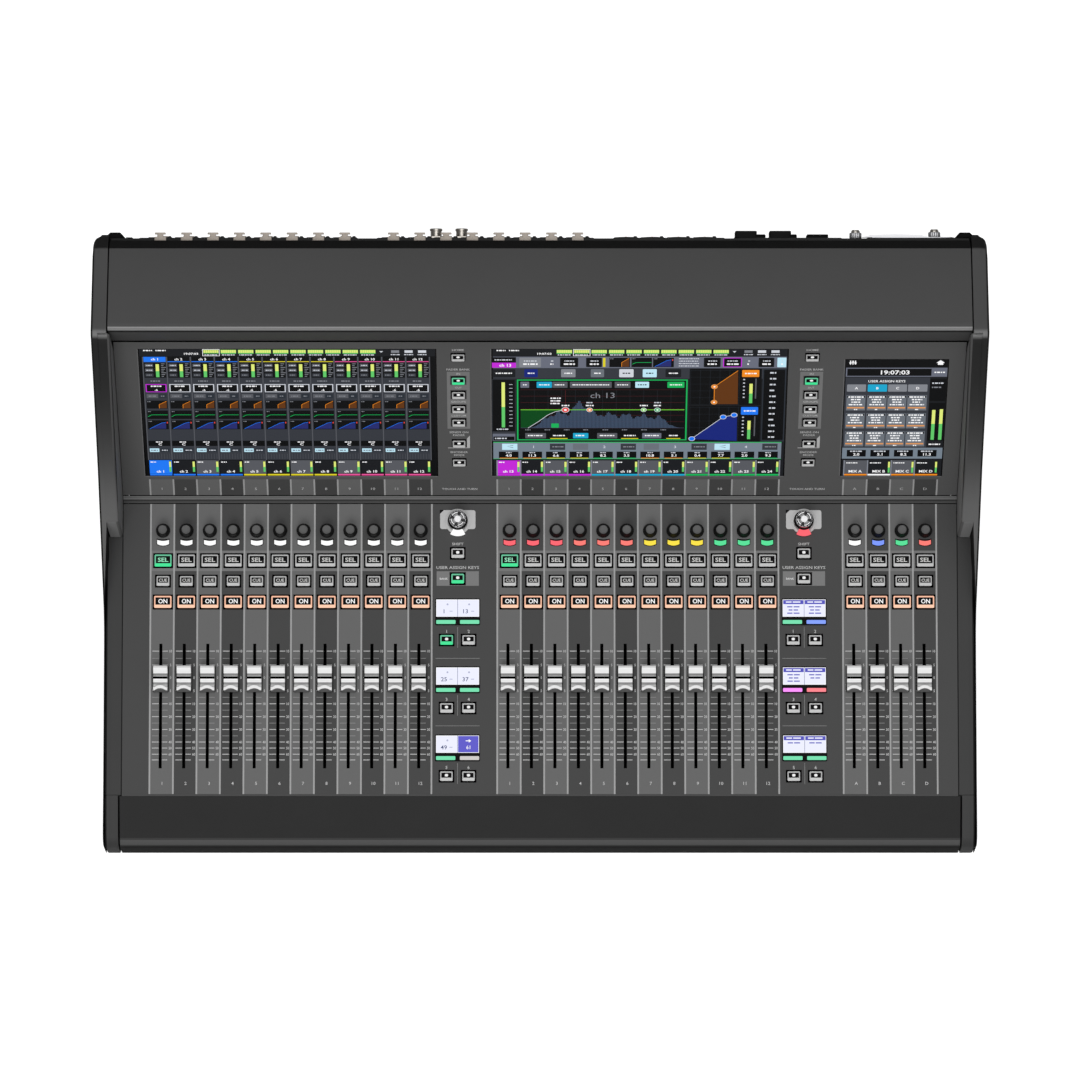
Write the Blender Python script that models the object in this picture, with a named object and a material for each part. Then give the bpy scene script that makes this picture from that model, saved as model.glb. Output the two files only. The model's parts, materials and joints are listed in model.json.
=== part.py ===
"""A digital mixing console as an assembly of separate pieces.

Metres, +Z up, +X to the operator's right, +Y to the rear. The origin is on the table, under the
middle of the box. Pieces on the fader deck are placed in the deck's own frame (x, distance u towards
the operator from the deck's rear edge, height above the deck), and pieces on the display panel in the
panel's frame (x, distance v up the slope from the panel's lower edge, height above the panel).
"""

import math

import bmesh
import bpy
from mathutils import Vector

# Driving dimensions of the casing. A point of the side view is (y, z).
HALF_WIDTH = 0.3965
HALF_DEPTH = 0.282
HOOD_HALF_WIDTH = 0.3817
DECK_HALF_WIDTH = 0.3790
ARMREST_HALF_WIDTH = 0.3830
SKIN_INNER_X = 0.3904
GAP = 0.0003

DECK_REAR = (0.0226, 0.1000)
DECK_SLOPE = math.radians(5.66)
DECK_LENGTH = 0.2600
DECK_THICK = 0.0025
DECK_BEAD_START = 0.0046
DECK_BEAD_END = 0.0113
DECK_BEAD_RISE = 0.0062
PANEL_FOOT = (0.0339, 0.1077)
PANEL_SLOPE = math.radians(59.6)
PANEL_LENGTH = 0.2000
PANEL_THICK = 0.0030
SHEET = 0.0020
FLOOR_Z = 0.0083
FOOT_HEIGHT = 0.0080
REAR_TOP = (0.2250, 0.3005)
REAR_FOOT = (0.2795, 0.0120)
SOCKET_BLOCKS_X = (
    (-0.3560, -0.1620),
    (-0.1450, 0.0480),
    (0.0650, 0.1640),
    (0.1760, 0.2680),
    (0.2900, 0.3700),
)
SOCKET_BLOCKS_DOWN = (0.0200, 0.0560)
SOCKET_BLOCKS_OUT = 0.0025
GUARD_X = (0.3710, 0.3875)
GUARD_DOWN = (0.0060, 0.0700)
GUARD_OUT = 0.0075
HOOD_FRONT = (0.1350, 0.3178)
HOOD_REAR = (0.2140, 0.3118)
HOOD_CHAMFER_END = (0.2240, 0.3030)
HOOD_FASCIA_FOOT = (0.1364, 0.2804)
LIP_CENTRE = (0.1412, 0.3180)
LIP_RADIUS = 0.0060
ARM_RADIUS = 0.0150
ARM_TOP_Z = 0.0650
ARM_LOW_Z = 0.0120
ARM_WALL = 0.0030
ARM_LOW_END_Y = -0.2440

# Driving dimensions of the controls.
PITCH = 0.0213
BANKS = {
    "left": {"start": -0.3540, "count": 12},
    "centre": {"start": -0.0388, "count": 12},
    "right": {"start": 0.2752, "count": 4},
}
UTILITIES = {"left": -0.0748, "centre": 0.2400}
PANEL_KEYS_X = {"left": -0.0730, "centre": 0.2425}
CHANNEL_KEYS = (
    {"u": 0.0473, "width": 0.0154, "depth": 0.0110},
    {"u": 0.0660, "width": 0.0118, "depth": 0.0091},
    {"u": 0.0851, "width": 0.0158, "depth": 0.0110},
)
KEY_OFFSET = 0.0006
SMALL_KEY = (0.0116, 0.0088)
UTILITY_SINGLE_KEYS_U = (0.0406, 0.0638)
UTILITY_PAIR_KEYS_U = (0.1198, 0.1818, 0.2438)
UTILITY_PAIR_X = 0.0100
LCD_U = (0.0907, 0.1527, 0.2147)
LCD_SIZE = (0.0396, 0.0174)
PANEL_KEYS_V = (0.1810, 0.1510, 0.1325, 0.1140, 0.0965, 0.0690, 0.0440)
KEY_RISE = 0.0016
KEY_CLEARANCE = 0.0008
KEY_DROP = 0.0028
WEB_THICK = 0.0012

ENCODER_U = 0.0200
ENCODER_OFFSET = 0.0005
ENCODER_RADIUS = 0.0064
ENCODER_BOARD_U = (0.0110, 0.0290)
ENCODER_HEIGHT = 0.0130
TOUCH_KNOB_U = 0.0105
TOUCH_KNOB_RADIUS = 0.0088
TOUCH_KNOB_HEIGHT = 0.0140
SHAFT_RADIUS = 0.0030
SHAFT_HOLE_RADIUS = 0.0036
BOARD_THICK = 0.0016
BOARD_DROP = 0.0100

SLOT_U = (0.1232, 0.2366)
SLOT_WIDTH = 0.0028
SLOT_OFFSET = -0.00095
FADER_REST_U = 0.1554
CAP_WIDTH = 0.0130
CAP_LENGTH = 0.0239
CAP_HEIGHT = 0.0105
STEM_WIDTH = 0.0014
STEM_LENGTH = 0.0050
CARRIAGE_SIZE = (0.0120, 0.0150, 0.0060)
CARRIAGE_DROP = 0.0080

SCREENS = {
    "left": {"x": (-0.3575, -0.0925), "v": (0.0255, 0.1911)},
    "centre": {"x": (-0.0431, 0.2211), "v": (0.0255, 0.1911)},
    "right": {"x": (0.2722, 0.3642), "v": (0.0255, 0.1780)},
}
SCREEN_DEPTH = 0.0100

FEET_X = 0.3300
FEET_Y = (-0.2200, 0.2300)
FOOT_RADIUS = 0.0140


def clear_scene():
    for obj in list(bpy.data.objects):
        bpy.data.objects.remove(obj, do_unlink=True)


# ---------------------------------------------------------------- materials

FINISHES = {
    "casing": ((0.055, 0.055, 0.055), 0.55, 0.2),
    "cheek": ((0.060, 0.060, 0.061), 0.50, 0.2),
    "armrest": ((0.022, 0.022, 0.022), 0.85, 0.0),
    "steel": ((0.030, 0.030, 0.030), 0.45, 0.8),
    "glass": ((0.010, 0.011, 0.013), 0.10, 0.0),
    "key": ((0.350, 0.350, 0.350), 0.60, 0.0),
    "knob": ((0.020, 0.020, 0.021), 0.55, 0.0),
    "silver": ((0.700, 0.700, 0.700), 0.30, 0.9),
    "cap": ((0.780, 0.780, 0.780), 0.40, 0.0),
    "rubber": ((0.015, 0.015, 0.015), 0.90, 0.0),
    "board": ((0.020, 0.120, 0.050), 0.50, 0.0),
}


def finish_of(name):
    """The Principled material of that name, made on its first use."""
    found = bpy.data.materials.get(name)
    if found:
        return found
    colour, roughness, metallic = FINISHES[name]
    made = bpy.data.materials.new(name)
    made.use_nodes = True
    shader = made.node_tree.nodes["Principled BSDF"]
    shader.inputs["Base Color"].default_value = (*colour, 1.0)
    shader.inputs["Roughness"].default_value = roughness
    shader.inputs["Metallic"].default_value = metallic
    return made


# ---------------------------------------------------------------- solids

def add_prism(bm, outline, x0, x1):
    """A closed prism along X whose section is the outline of (y, z) points."""
    near = [bm.verts.new((x0, y, z)) for y, z in outline]
    far = [bm.verts.new((x1, y, z)) for y, z in outline]
    bm.faces.new(near)
    bm.faces.new(far)
    for i, corner in enumerate(near):
        after = (i + 1) % len(near)
        bm.faces.new((corner, near[after], far[after], far[i]))


def add_box(bm, x0, x1, y0, y1, z0, z1):
    add_prism(bm, [(y0, z0), (y1, z0), (y1, z1), (y0, z1)], x0, x1)


def add_turned(bm, x, y, profile, segments):
    """A closed solid turned about the vertical at (x, y). The profile's (radius, z) points run from
    the top to the bottom, and its first and last points lie on the axis."""
    rings = []
    for radius, z in profile[1:-1]:
        ring = []
        for i in range(segments):
            turn = 2 * math.pi * i / segments
            ring.append(bm.verts.new((x + radius * math.cos(turn), y + radius * math.sin(turn), z)))
        rings.append(ring)
    for upper, lower in zip(rings, rings[1:]):
        for i in range(segments):
            after = (i + 1) % segments
            bm.faces.new((upper[i], lower[i], lower[after], upper[after]))
    bm.faces.new(rings[0])
    bm.faces.new(rings[-1])


def object_from(name, bm, finish, parent=None):
    """Links the mesh as one object with its faces pointing out and its round sides smooth."""
    bmesh.ops.recalc_face_normals(bm, faces=bm.faces)
    mesh = bpy.data.meshes.new(name)
    bm.to_mesh(mesh)
    bm.free()
    mesh.materials.append(finish_of(finish))
    mesh.shade_smooth()
    mesh.set_sharp_from_angle(angle=math.radians(32))
    obj = bpy.data.objects.new(name, mesh)
    bpy.context.scene.collection.objects.link(obj)
    obj.parent = parent
    return obj


def helper_from(name, bm, parent=None):
    """A cutter, or a shape to be joined to another: it isn't a piece of its own."""
    obj = object_from(name, bm, "steel", parent)
    obj.hide_render = True
    obj.display_type = "WIRE"
    return obj


def boolean(obj, other, operation):
    modifier = obj.modifiers.new(other.name, "BOOLEAN")
    modifier.operation = operation
    modifier.object = other
    modifier.solver = "EXACT"


def frame_empty(name, point, slope):
    """An empty whose X axis is the object's and whose Y axis runs up a surface of that slope."""
    empty = bpy.data.objects.new(name, None)
    bpy.context.scene.collection.objects.link(empty)
    empty.location = (0.0, point[0], point[1])
    empty.rotation_euler = (slope, 0.0, 0.0)
    return empty


def arc(centre, radius, start_deg, end_deg, steps):
    """Points of the side view on an arc. Angle 0 points along +Y and 90 along +Z."""
    points = []
    for i in range(steps + 1):
        angle = math.radians(start_deg + (end_deg - start_deg) * i / steps)
        points.append((centre[0] + radius * math.cos(angle), centre[1] + radius * math.sin(angle)))
    return points


def strip_centres(bank):
    start, count = BANKS[bank]["start"], BANKS[bank]["count"]
    return [start + PITCH * (i + 0.5) for i in range(count)]


def on_slope(origin, slope, along, height=0.0):
    """The side view point that lies along the slope and above it by height."""
    y = origin[0] + along * math.cos(slope) - height * math.sin(slope)
    z = origin[1] + along * math.sin(slope) + height * math.cos(slope)
    return (y, z)


# ---------------------------------------------------------------- casing

def deck_point(u, height=0.0):
    return on_slope(DECK_REAR, DECK_SLOPE, -u, height)


def panel_point(v, height=0.0):
    return on_slope(PANEL_FOOT, PANEL_SLOPE, v, height)


def make_hood():
    """Bent sheet: a near-vertical fascia, a rounded lip, a long sloping top and a rear chamfer."""
    outer = [HOOD_FASCIA_FOOT, HOOD_FRONT] + arc(LIP_CENTRE, LIP_RADIUS, 170, 80, 4)
    outer += [HOOD_REAR, HOOD_CHAMFER_END]
    inner = [(HOOD_CHAMFER_END[0] - 0.0022, HOOD_CHAMFER_END[1] - 0.0012)]
    inner += [(HOOD_REAR[0] - 0.0010, HOOD_REAR[1] - 0.0022)]
    inner += arc(LIP_CENTRE, LIP_RADIUS - SHEET, 80, 170, 4)
    inner += [(HOOD_FRONT[0] + 0.0034, HOOD_FRONT[1]), (HOOD_FASCIA_FOOT[0] + 0.0032, HOOD_FASCIA_FOOT[1])]
    bm = bmesh.new()
    add_prism(bm, outer + inner, -HOOD_HALF_WIDTH, HOOD_HALF_WIDTH)
    object_from("rear_hood", bm, "casing")


def front_round(inset, steps):
    """The armrest's front in side view: round nose, upright front and round chin. It is drawn inset
    from the casing's outermost face."""
    y = -HALF_DEPTH + ARM_RADIUS
    nose = arc((y, ARM_TOP_Z - ARM_RADIUS), ARM_RADIUS - inset, 90, 180, steps)
    chin = arc((y, ARM_LOW_Z + ARM_RADIUS), ARM_RADIUS - inset, 180, 270, steps)
    return nose + chin


def make_armrest():
    """A shell open to the rear: flat top, round nose, upright front and a lip under it."""
    top_rear = deck_point(DECK_LENGTH + 0.0016)
    outer = [top_rear] + front_round(0.0, 5) + [(ARM_LOW_END_Y, ARM_LOW_Z)]
    inner = [(ARM_LOW_END_Y, ARM_LOW_Z + ARM_WALL)] + front_round(ARM_WALL, 5)[::-1]
    inner += [(top_rear[0], top_rear[1] - ARM_WALL)]
    bm = bmesh.new()
    add_prism(bm, outer + inner, -ARMREST_HALF_WIDTH, ARMREST_HALF_WIDTH)
    object_from("armrest", bm, "armrest")


def wing_outline():
    """Side view of a cheek: flat foot, leaning rear edge, hood line, and the long diagonal of the wing
    that sinks to the level of the deck and runs on to the round front."""
    points = [(0.2700, 0.0090), (HALF_DEPTH, 0.0210), (0.2262, 0.3040), (0.2140, 0.3125)]
    points += [(0.1400, 0.3245)]
    points += arc((0.1338, 0.3185), 0.0062, 70, 140, 3)
    points += [(0.0856, 0.2650), (0.0346, 0.2015), (-0.0014, 0.1640), (-0.0374, 0.1265)]
    points += [(-0.0720, 0.0925), (-0.0860, 0.0860), (-0.1074, 0.0815), (-0.2234, 0.0690)]
    return points + front_round(0.0, 5)


def cheek_block(cheek, side, name, outline, x0, x1):
    """Joins a block of that side view, between the distances x0 and x1 from the middle, to a cheek."""
    block = bmesh.new()
    add_prism(block, outline, *sorted((side * x0, side * x1)))
    boolean(cheek, helper_from(f"{cheek.name}_{name}", block), "UNION")


def make_cheek(side):
    """One moulded side: a thin outer wing, a thick upper part behind the deck, a low inner block that
    is level with the deck and the armrest, and a guard that stands out at the rear corner."""
    step_y = -0.0030
    foot_z = 0.0130
    lap = 0.0010
    seam = DECK_HALF_WIDTH + 0.0006
    rear_seam = HOOD_HALF_WIDTH + GAP
    buried = SKIN_INNER_X + lap

    skin = bmesh.new()
    add_prism(skin, wing_outline(), *sorted((side * SKIN_INNER_X, side * HALF_WIDTH)))
    cheek = object_from("left_cheek" if side < 0 else "right_cheek", skin, "cheek")

    upper = [(step_y, foot_z), (0.1330, foot_z), (0.1330, 0.3150), (0.0856, 0.2636)]
    upper += [(0.0346, 0.2001), (step_y, 0.1610)]
    cheek_block(cheek, side, "upper", upper, seam, buried)

    rear = [(0.1320, foot_z), (0.2700, foot_z), (0.2780, 0.0230), (0.2240, 0.3025), (0.2135, 0.3110)]
    rear += [(0.1400, 0.3230), (0.1320, 0.3160)]
    cheek_block(cheek, side, "rear", rear, rear_seam, buried)

    deck_front = deck_point(DECK_LENGTH + lap)
    low = [(step_y + lap, foot_z), deck_point(0.0240), deck_front, (deck_front[0], foot_z)]
    cheek_block(cheek, side, "inner", low, seam, buried)

    nose = [(deck_front[0] + lap, foot_z), (deck_front[0] + lap, deck_front[1] - 0.0001)]
    nose += front_round(0.0004, 4)
    cheek_block(cheek, side, "front", nose, ARMREST_HALF_WIDTH + GAP, buried)

    top, bottom = GUARD_DOWN
    root = [rear_point(top, GUARD_OUT), rear_point(bottom, GUARD_OUT)]
    root += [rear_point(bottom, -0.0040), rear_point(top, -0.0040)]
    cheek_block(cheek, side, "guard_root", root, rear_seam, GUARD_X[1])
    guard = [rear_point(top, GUARD_OUT), rear_point(bottom, GUARD_OUT)]
    guard += [rear_point(bottom, GAP), rear_point(top, GAP)]
    cheek_block(cheek, side, "guard", guard, GUARD_X[0], rear_seam + lap)


def make_chassis():
    """A folded tray: floor, a front wall behind the armrest and a rear flange, open at its ends."""
    front_y = -0.2360
    front_top = deck_point(-(front_y - DECK_REAR[0]) / math.cos(DECK_SLOPE), -DECK_THICK - 0.0010)[1]
    outer = [(front_y, front_top), (front_y, FLOOR_Z), (0.2740, FLOOR_Z), (0.2740, 0.0105)]
    inner = [(front_y + SHEET, 0.0105), (front_y + SHEET, front_top)]
    bm = bmesh.new()
    add_prism(bm, outer + inner, -DECK_HALF_WIDTH, DECK_HALF_WIDTH)
    object_from("bottom_chassis", bm, "steel")


def make_deck(deck):
    """The fader deck: one plate with an opening for every key, shaft and fader stem, a turned-up rear
    edge under the display panel, and raised frames round the small LCD windows."""
    start, end, rise = DECK_BEAD_START, DECK_BEAD_END, DECK_BEAD_RISE
    plate = bmesh.new()
    outline = [(-DECK_LENGTH, -DECK_THICK), (-DECK_LENGTH, 0.0), (start, 0.0), (start + 0.0008, rise)]
    outline += [(end, rise), (end, rise - SHEET), (start + 0.0028, rise - SHEET)]
    outline += [(start + 0.0020, -DECK_THICK)]
    add_prism(plate, outline, -DECK_HALF_WIDTH, DECK_HALF_WIDTH)
    deck_plate = object_from("fader_deck", plate, "casing", deck)

    frames = bmesh.new()
    for x in UTILITIES.values():
        for u in LCD_U:
            width, depth = LCD_SIZE
            add_box(frames, x - width / 2, x + width / 2, -u - depth / 2, -u + depth / 2, -0.0010, 0.0006)
    boolean(deck_plate, helper_from("lcd_frames", frames, deck), "UNION")

    below, above = -DECK_THICK - 0.002, 0.002
    openings = bmesh.new()
    for bank in BANKS:
        for x in strip_centres(bank):
            for key in CHANNEL_KEYS:
                width, depth = key["width"], key["depth"]
                add_key_opening(openings, x + KEY_OFFSET, -key["u"], width, depth, below, above)
            add_shaft_opening(openings, x + ENCODER_OFFSET, ENCODER_U, below, above)
            slot_x = x + SLOT_OFFSET
            add_box(openings, slot_x - SLOT_WIDTH / 2, slot_x + SLOT_WIDTH / 2, -SLOT_U[1], -SLOT_U[0],
                    below, above)
    for x in UTILITIES.values():
        add_shaft_opening(openings, x, TOUCH_KNOB_U, below, above)
        for key_x, u in utility_key_places(x):
            add_key_opening(openings, key_x, -u, *SMALL_KEY, below, above)
    boolean(deck_plate, helper_from("deck_openings", openings, deck), "DIFFERENCE")


def add_key_opening(bm, x, y, width, depth, below, above):
    """An opening with play round a key. y is up the slope in the frame of the plate."""
    half_x = width / 2 + KEY_CLEARANCE
    half_y = depth / 2 + KEY_CLEARANCE
    add_box(bm, x - half_x, x + half_x, y - half_y, y + half_y, below, above)


def add_shaft_opening(bm, x, u, below, above):
    radius = SHAFT_HOLE_RADIUS
    add_turned(bm, x, -u, [(0, above), (radius, above), (radius, below), (0, below)], 8)


def make_panel(panel):
    """The display panel: one plate with three screen openings and two columns of key openings."""
    plate = bmesh.new()
    add_box(plate, -DECK_HALF_WIDTH, DECK_HALF_WIDTH, 0.0, PANEL_LENGTH, -PANEL_THICK, 0.0)
    panel_plate = object_from("display_panel", plate, "casing", panel)
    below, above = -PANEL_THICK - 0.002, 0.002
    openings = bmesh.new()
    for screen in SCREENS.values():
        x0, x1 = screen["x"]
        v0, v1 = screen["v"]
        add_box(openings, x0 - GAP, x1 + GAP, v0 - GAP, v1 + GAP, below, above)
    for x in PANEL_KEYS_X.values():
        for v in PANEL_KEYS_V:
            add_key_opening(openings, x, v, *SMALL_KEY, below, above)
    boolean(panel_plate, helper_from("panel_openings", openings, panel), "DIFFERENCE")


def make_screen(side, panel):
    """A touchscreen module: its glass is level with the panel, and its housing spreads behind it."""
    x0, x1 = SCREENS[side]["x"]
    v0, v1 = SCREENS[side]["v"]
    back = -PANEL_THICK - GAP
    glass = bmesh.new()
    add_box(glass, x0, x1, v0, v1, back - 0.0010, -0.0004)
    screen = object_from("touchscreen_" + side, glass, "glass", panel)
    spread = 0.0025
    housing = bmesh.new()
    add_box(housing, x0 - spread, x1 + spread, v0 - spread, v1 + spread, -SCREEN_DEPTH, back)
    boolean(screen, helper_from("housing_" + side, housing, panel), "UNION")


def rear_point(along, out=0.0):
    """A point of the rear panel: the distance down it from its top edge, and out from its face."""
    down = Vector((REAR_FOOT[0] - REAR_TOP[0], REAR_FOOT[1] - REAR_TOP[1])).normalized()
    normal = Vector((-down.y, down.x))
    point = Vector(REAR_TOP) + down * along + normal * out
    return (point.x, point.y)


def make_rear_panel():
    """The leaning connector panel, with its blocks of sockets standing out of it."""
    length = (Vector(REAR_FOOT) - Vector(REAR_TOP)).length
    sheet = bmesh.new()
    section = [rear_point(0), rear_point(length), rear_point(length, -SHEET), rear_point(0, -SHEET)]
    add_prism(sheet, section, -HOOD_HALF_WIDTH, HOOD_HALF_WIDTH)
    panel = object_from("rear_panel", sheet, "steel")
    top, bottom = SOCKET_BLOCKS_DOWN
    blocks = bmesh.new()
    for x0, x1 in SOCKET_BLOCKS_X:
        section = [rear_point(top, SOCKET_BLOCKS_OUT), rear_point(bottom, SOCKET_BLOCKS_OUT)]
        section += [rear_point(bottom, -0.0010), rear_point(top, -0.0010)]
        add_prism(blocks, section, x0, x1)
    boolean(panel, helper_from("socket_blocks", blocks), "UNION")


def make_foot(name, x, y):
    """A low round rubber foot with a tapered side, standing on the table."""
    bm = bmesh.new()
    radius = FOOT_RADIUS
    profile = [(0, FOOT_HEIGHT), (radius, FOOT_HEIGHT), (radius * 0.86, 0.0), (0, 0.0)]
    add_turned(bm, 0.0, 0.0, profile, 16)
    foot = object_from(name, bm, "rubber")
    foot.location = (x, y, 0.0)


# ---------------------------------------------------------------- inside

def make_main_board():
    """The processing board on the floor, with its heat sink, memory row and connector rows."""
    bm = bmesh.new()
    base = 0.0160
    add_box(bm, -0.2400, 0.1600, -0.1600, 0.1900, base, base + BOARD_THICK)
    board = object_from("main_board", bm, "board")
    parts = bmesh.new()
    low = base + BOARD_THICK / 2
    add_box(parts, -0.1200, -0.0500, -0.0300, 0.0400, low, base + 0.0180)
    add_box(parts, 0.0200, 0.0900, -0.0300, 0.0400, low, base + 0.0180)
    add_box(parts, -0.2200, 0.1400, 0.1500, 0.1800, low, base + 0.0140)
    add_box(parts, -0.2200, 0.1400, -0.1500, -0.1400, low, base + 0.0090)
    boolean(board, helper_from("board_parts", parts), "UNION")


def make_power_supply():
    """A boxed mains supply on the floor at the rear right, with its fan's grille collar."""
    bm = bmesh.new()
    add_box(bm, 0.1900, 0.3600, 0.0200, 0.2200, 0.0120, 0.0620)
    supply = object_from("power_supply", bm, "steel")
    collar = bmesh.new()
    add_turned(collar, 0.2750, 0.1200, [(0, 0.0660), (0.0380, 0.0660), (0.0380, 0.0600), (0, 0.0600)], 16)
    boolean(supply, helper_from("fan_collar", collar), "UNION")


# ---------------------------------------------------------------- keys and knobs

def utility_key_places(x):
    places = [(x, u) for u in UTILITY_SINGLE_KEYS_U]
    for u in UTILITY_PAIR_KEYS_U:
        places += [(x - UTILITY_PAIR_X, u), (x + UTILITY_PAIR_X, u)]
    return places


def add_key(bm, x, y, width, depth, low):
    add_box(bm, x - width / 2, x + width / 2, y - depth / 2, y + depth / 2, low, KEY_RISE)


def make_bank_mat(bank, deck):
    """One silicone mat: the SEL, CUE and ON keys of a bank on a web under the deck."""
    top = -DECK_THICK - KEY_DROP
    centres = strip_centres(bank)
    web = bmesh.new()
    margin = 0.0095
    add_box(web, centres[0] - margin, centres[-1] + margin, -0.0940, -0.0390, top - WEB_THICK, top)
    mat = object_from("key_mat_" + bank, web, "key", deck)
    keys = bmesh.new()
    for x in centres:
        for key in CHANNEL_KEYS:
            add_key(keys, x + KEY_OFFSET, -key["u"], key["width"], key["depth"], top - WEB_THICK / 2)
    boolean(mat, helper_from("keys_" + bank, keys, deck), "UNION")


def make_utility_mat(side, deck):
    """The mat of a utility section: shift key, bank key and the six user keys."""
    top = -DECK_THICK - KEY_DROP
    x = UTILITIES[side]
    web = bmesh.new()
    add_box(web, x - 0.0175, x + 0.0175, -0.2500, -0.0330, top - WEB_THICK, top)
    mat = object_from("user_key_mat_" + side, web, "key", deck)
    keys = bmesh.new()
    for key_x, u in utility_key_places(x):
        add_key(keys, key_x, -u, *SMALL_KEY, top - WEB_THICK / 2)
    boolean(mat, helper_from("user_keys_" + side, keys, deck), "UNION")


def make_panel_mat(side, panel):
    """The mat beside a touchscreen: home, four bank keys, sends on fader and encoder mode."""
    top = -PANEL_THICK - KEY_DROP
    x = PANEL_KEYS_X[side]
    half = 0.0090
    web = bmesh.new()
    add_box(web, x - half, x + half, PANEL_KEYS_V[-1] - half, PANEL_KEYS_V[0] + half, top - WEB_THICK, top)
    mat = object_from("display_key_mat_" + side, web, "key", panel)
    keys = bmesh.new()
    for v in PANEL_KEYS_V:
        add_key(keys, x, v, *SMALL_KEY, top - WEB_THICK / 2)
    boolean(mat, helper_from("display_keys_" + side, keys, panel), "UNION")


def knob_profile(radius, height, low):
    """Cap with a small bevel, a slightly flared skirt, and the shaft that goes down through the deck."""
    return [
        (0, height),
        (radius * 0.74, height),
        (radius * 0.86, height - 0.0012),
        (radius, 0.0006),
        (SHAFT_RADIUS, 0.0006),
        (SHAFT_RADIUS, low),
        (0, low),
    ]


def make_encoder_row(bank, deck):
    """The encoder board of a bank with its twelve shafts and knobs."""
    top = -BOARD_DROP
    centres = strip_centres(bank)
    board = bmesh.new()
    near, far = ENCODER_BOARD_U
    add_box(board, centres[0] - 0.008, centres[-1] + 0.008, -far, -near, top - BOARD_THICK, top)
    row = object_from("encoder_row_" + bank, board, "knob", deck)
    knobs = bmesh.new()
    profile = knob_profile(ENCODER_RADIUS, ENCODER_HEIGHT, top - BOARD_THICK / 2)
    for x in centres:
        add_turned(knobs, x + ENCODER_OFFSET, -ENCODER_U, profile, 12)
    boolean(row, helper_from("knobs_" + bank, knobs, deck), "UNION")


def make_knob(name, x, u, radius, height, finish, segments, deck):
    """A knob that turns on its own: the object's origin is on the shaft's axis at the deck's face."""
    bm = bmesh.new()
    add_turned(bm, 0.0, 0.0, knob_profile(radius, height, -BOARD_DROP), segments)
    knob = object_from(name, bm, finish, deck)
    knob.location = (x, -u, 0.0)


def cap_outline():
    """Side view of a fader cap: raised ends, a hollow for the finger on each side of the middle ridge."""
    half = CAP_LENGTH / 2
    top = CAP_HEIGHT
    right = [(0.0010, top - 0.0026), (0.0045, top - 0.0034), (0.0085, top - 0.0016)]
    right += [(half - 0.0014, top), (half - 0.0002, top - 0.0040), (half, 0.0016)]
    left = [(-y, z) for y, z in reversed(right)]
    return left + right


def fader_mesh():
    """The cap on its stem, which goes through the slot to a carriage below. The middle of the cap is
    over the origin."""
    bm = bmesh.new()
    add_prism(bm, cap_outline(), -CAP_WIDTH / 2, CAP_WIDTH / 2)
    bmesh.ops.recalc_face_normals(bm, faces=bm.faces)
    mesh = bpy.data.meshes.new("fader")
    bm.to_mesh(mesh)
    bm.free()
    mesh.materials.append(finish_of("cap"))
    return mesh


def make_faders(deck):
    """One sliding fader for each channel. All of them share the cap's mesh, and a Boolean joins each
    to its own stem and carriage."""
    mesh = fader_mesh()
    wide, long, tall = CARRIAGE_SIZE
    top = -CARRIAGE_DROP
    for bank in BANKS:
        for number, x in enumerate(strip_centres(bank), start=1):
            name = f"fader_{bank}_{number:02d}"
            fader = bpy.data.objects.new(name, mesh)
            bpy.context.scene.collection.objects.link(fader)
            fader.parent = deck
            fader.location = (x + SLOT_OFFSET, -FADER_REST_U, 0.0)
            below = bmesh.new()
            half = STEM_LENGTH / 2
            add_box(below, -STEM_WIDTH / 2, STEM_WIDTH / 2, -half, half, top - tall / 2, 0.0030)
            stem = helper_from(name + "_stem", below, deck)
            stem.location = fader.location
            block = bmesh.new()
            add_box(block, -wide / 2, wide / 2, -long / 2, long / 2, top - tall, top)
            carriage = helper_from(name + "_carriage", block, deck)
            carriage.location = fader.location
            boolean(fader, stem, "UNION")
            boolean(fader, carriage, "UNION")


def build():
    clear_scene()
    deck = frame_empty("deck_frame", DECK_REAR, DECK_SLOPE)
    panel = frame_empty("panel_frame", PANEL_FOOT, PANEL_SLOPE)
    make_hood()
    make_armrest()
    make_chassis()
    make_rear_panel()
    for side in (-1, 1):
        make_cheek(side)
    make_deck(deck)
    make_panel(panel)
    for side in SCREENS:
        make_screen(side, panel)
    for row, y in zip(("front", "rear"), FEET_Y):
        make_foot(f"foot_{row}_left", -FEET_X, y)
        make_foot(f"foot_{row}_right", FEET_X, y)
    make_main_board()
    make_power_supply()
    for bank in BANKS:
        make_bank_mat(bank, deck)
    for side in UTILITIES:
        make_utility_mat(side, deck)
        make_panel_mat(side, panel)
        make_knob("touch_knob_" + side, UTILITIES[side], TOUCH_KNOB_U, TOUCH_KNOB_RADIUS,
                  TOUCH_KNOB_HEIGHT, "silver", 20, deck)
    for bank in ("left", "centre"):
        make_encoder_row(bank, deck)
    for number, x in enumerate(strip_centres("right"), start=1):
        make_knob(f"encoder_right_{number:02d}", x + ENCODER_OFFSET, ENCODER_U, ENCODER_RADIUS,
                  ENCODER_HEIGHT, "knob", 16, deck)
    make_faders(deck)


build()
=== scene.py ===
"""Looks of a large digital mixing console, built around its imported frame.

Every piece is drawn in millimetres in one of three frames: the world, the fader deck (x, y up the
slope to the rear, height above the plate) or the display panel (x, y up the panel, height above
it). The frames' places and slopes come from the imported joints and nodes.
"""

import json
import math

import bpy
from mathutils import Matrix, Vector


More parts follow.
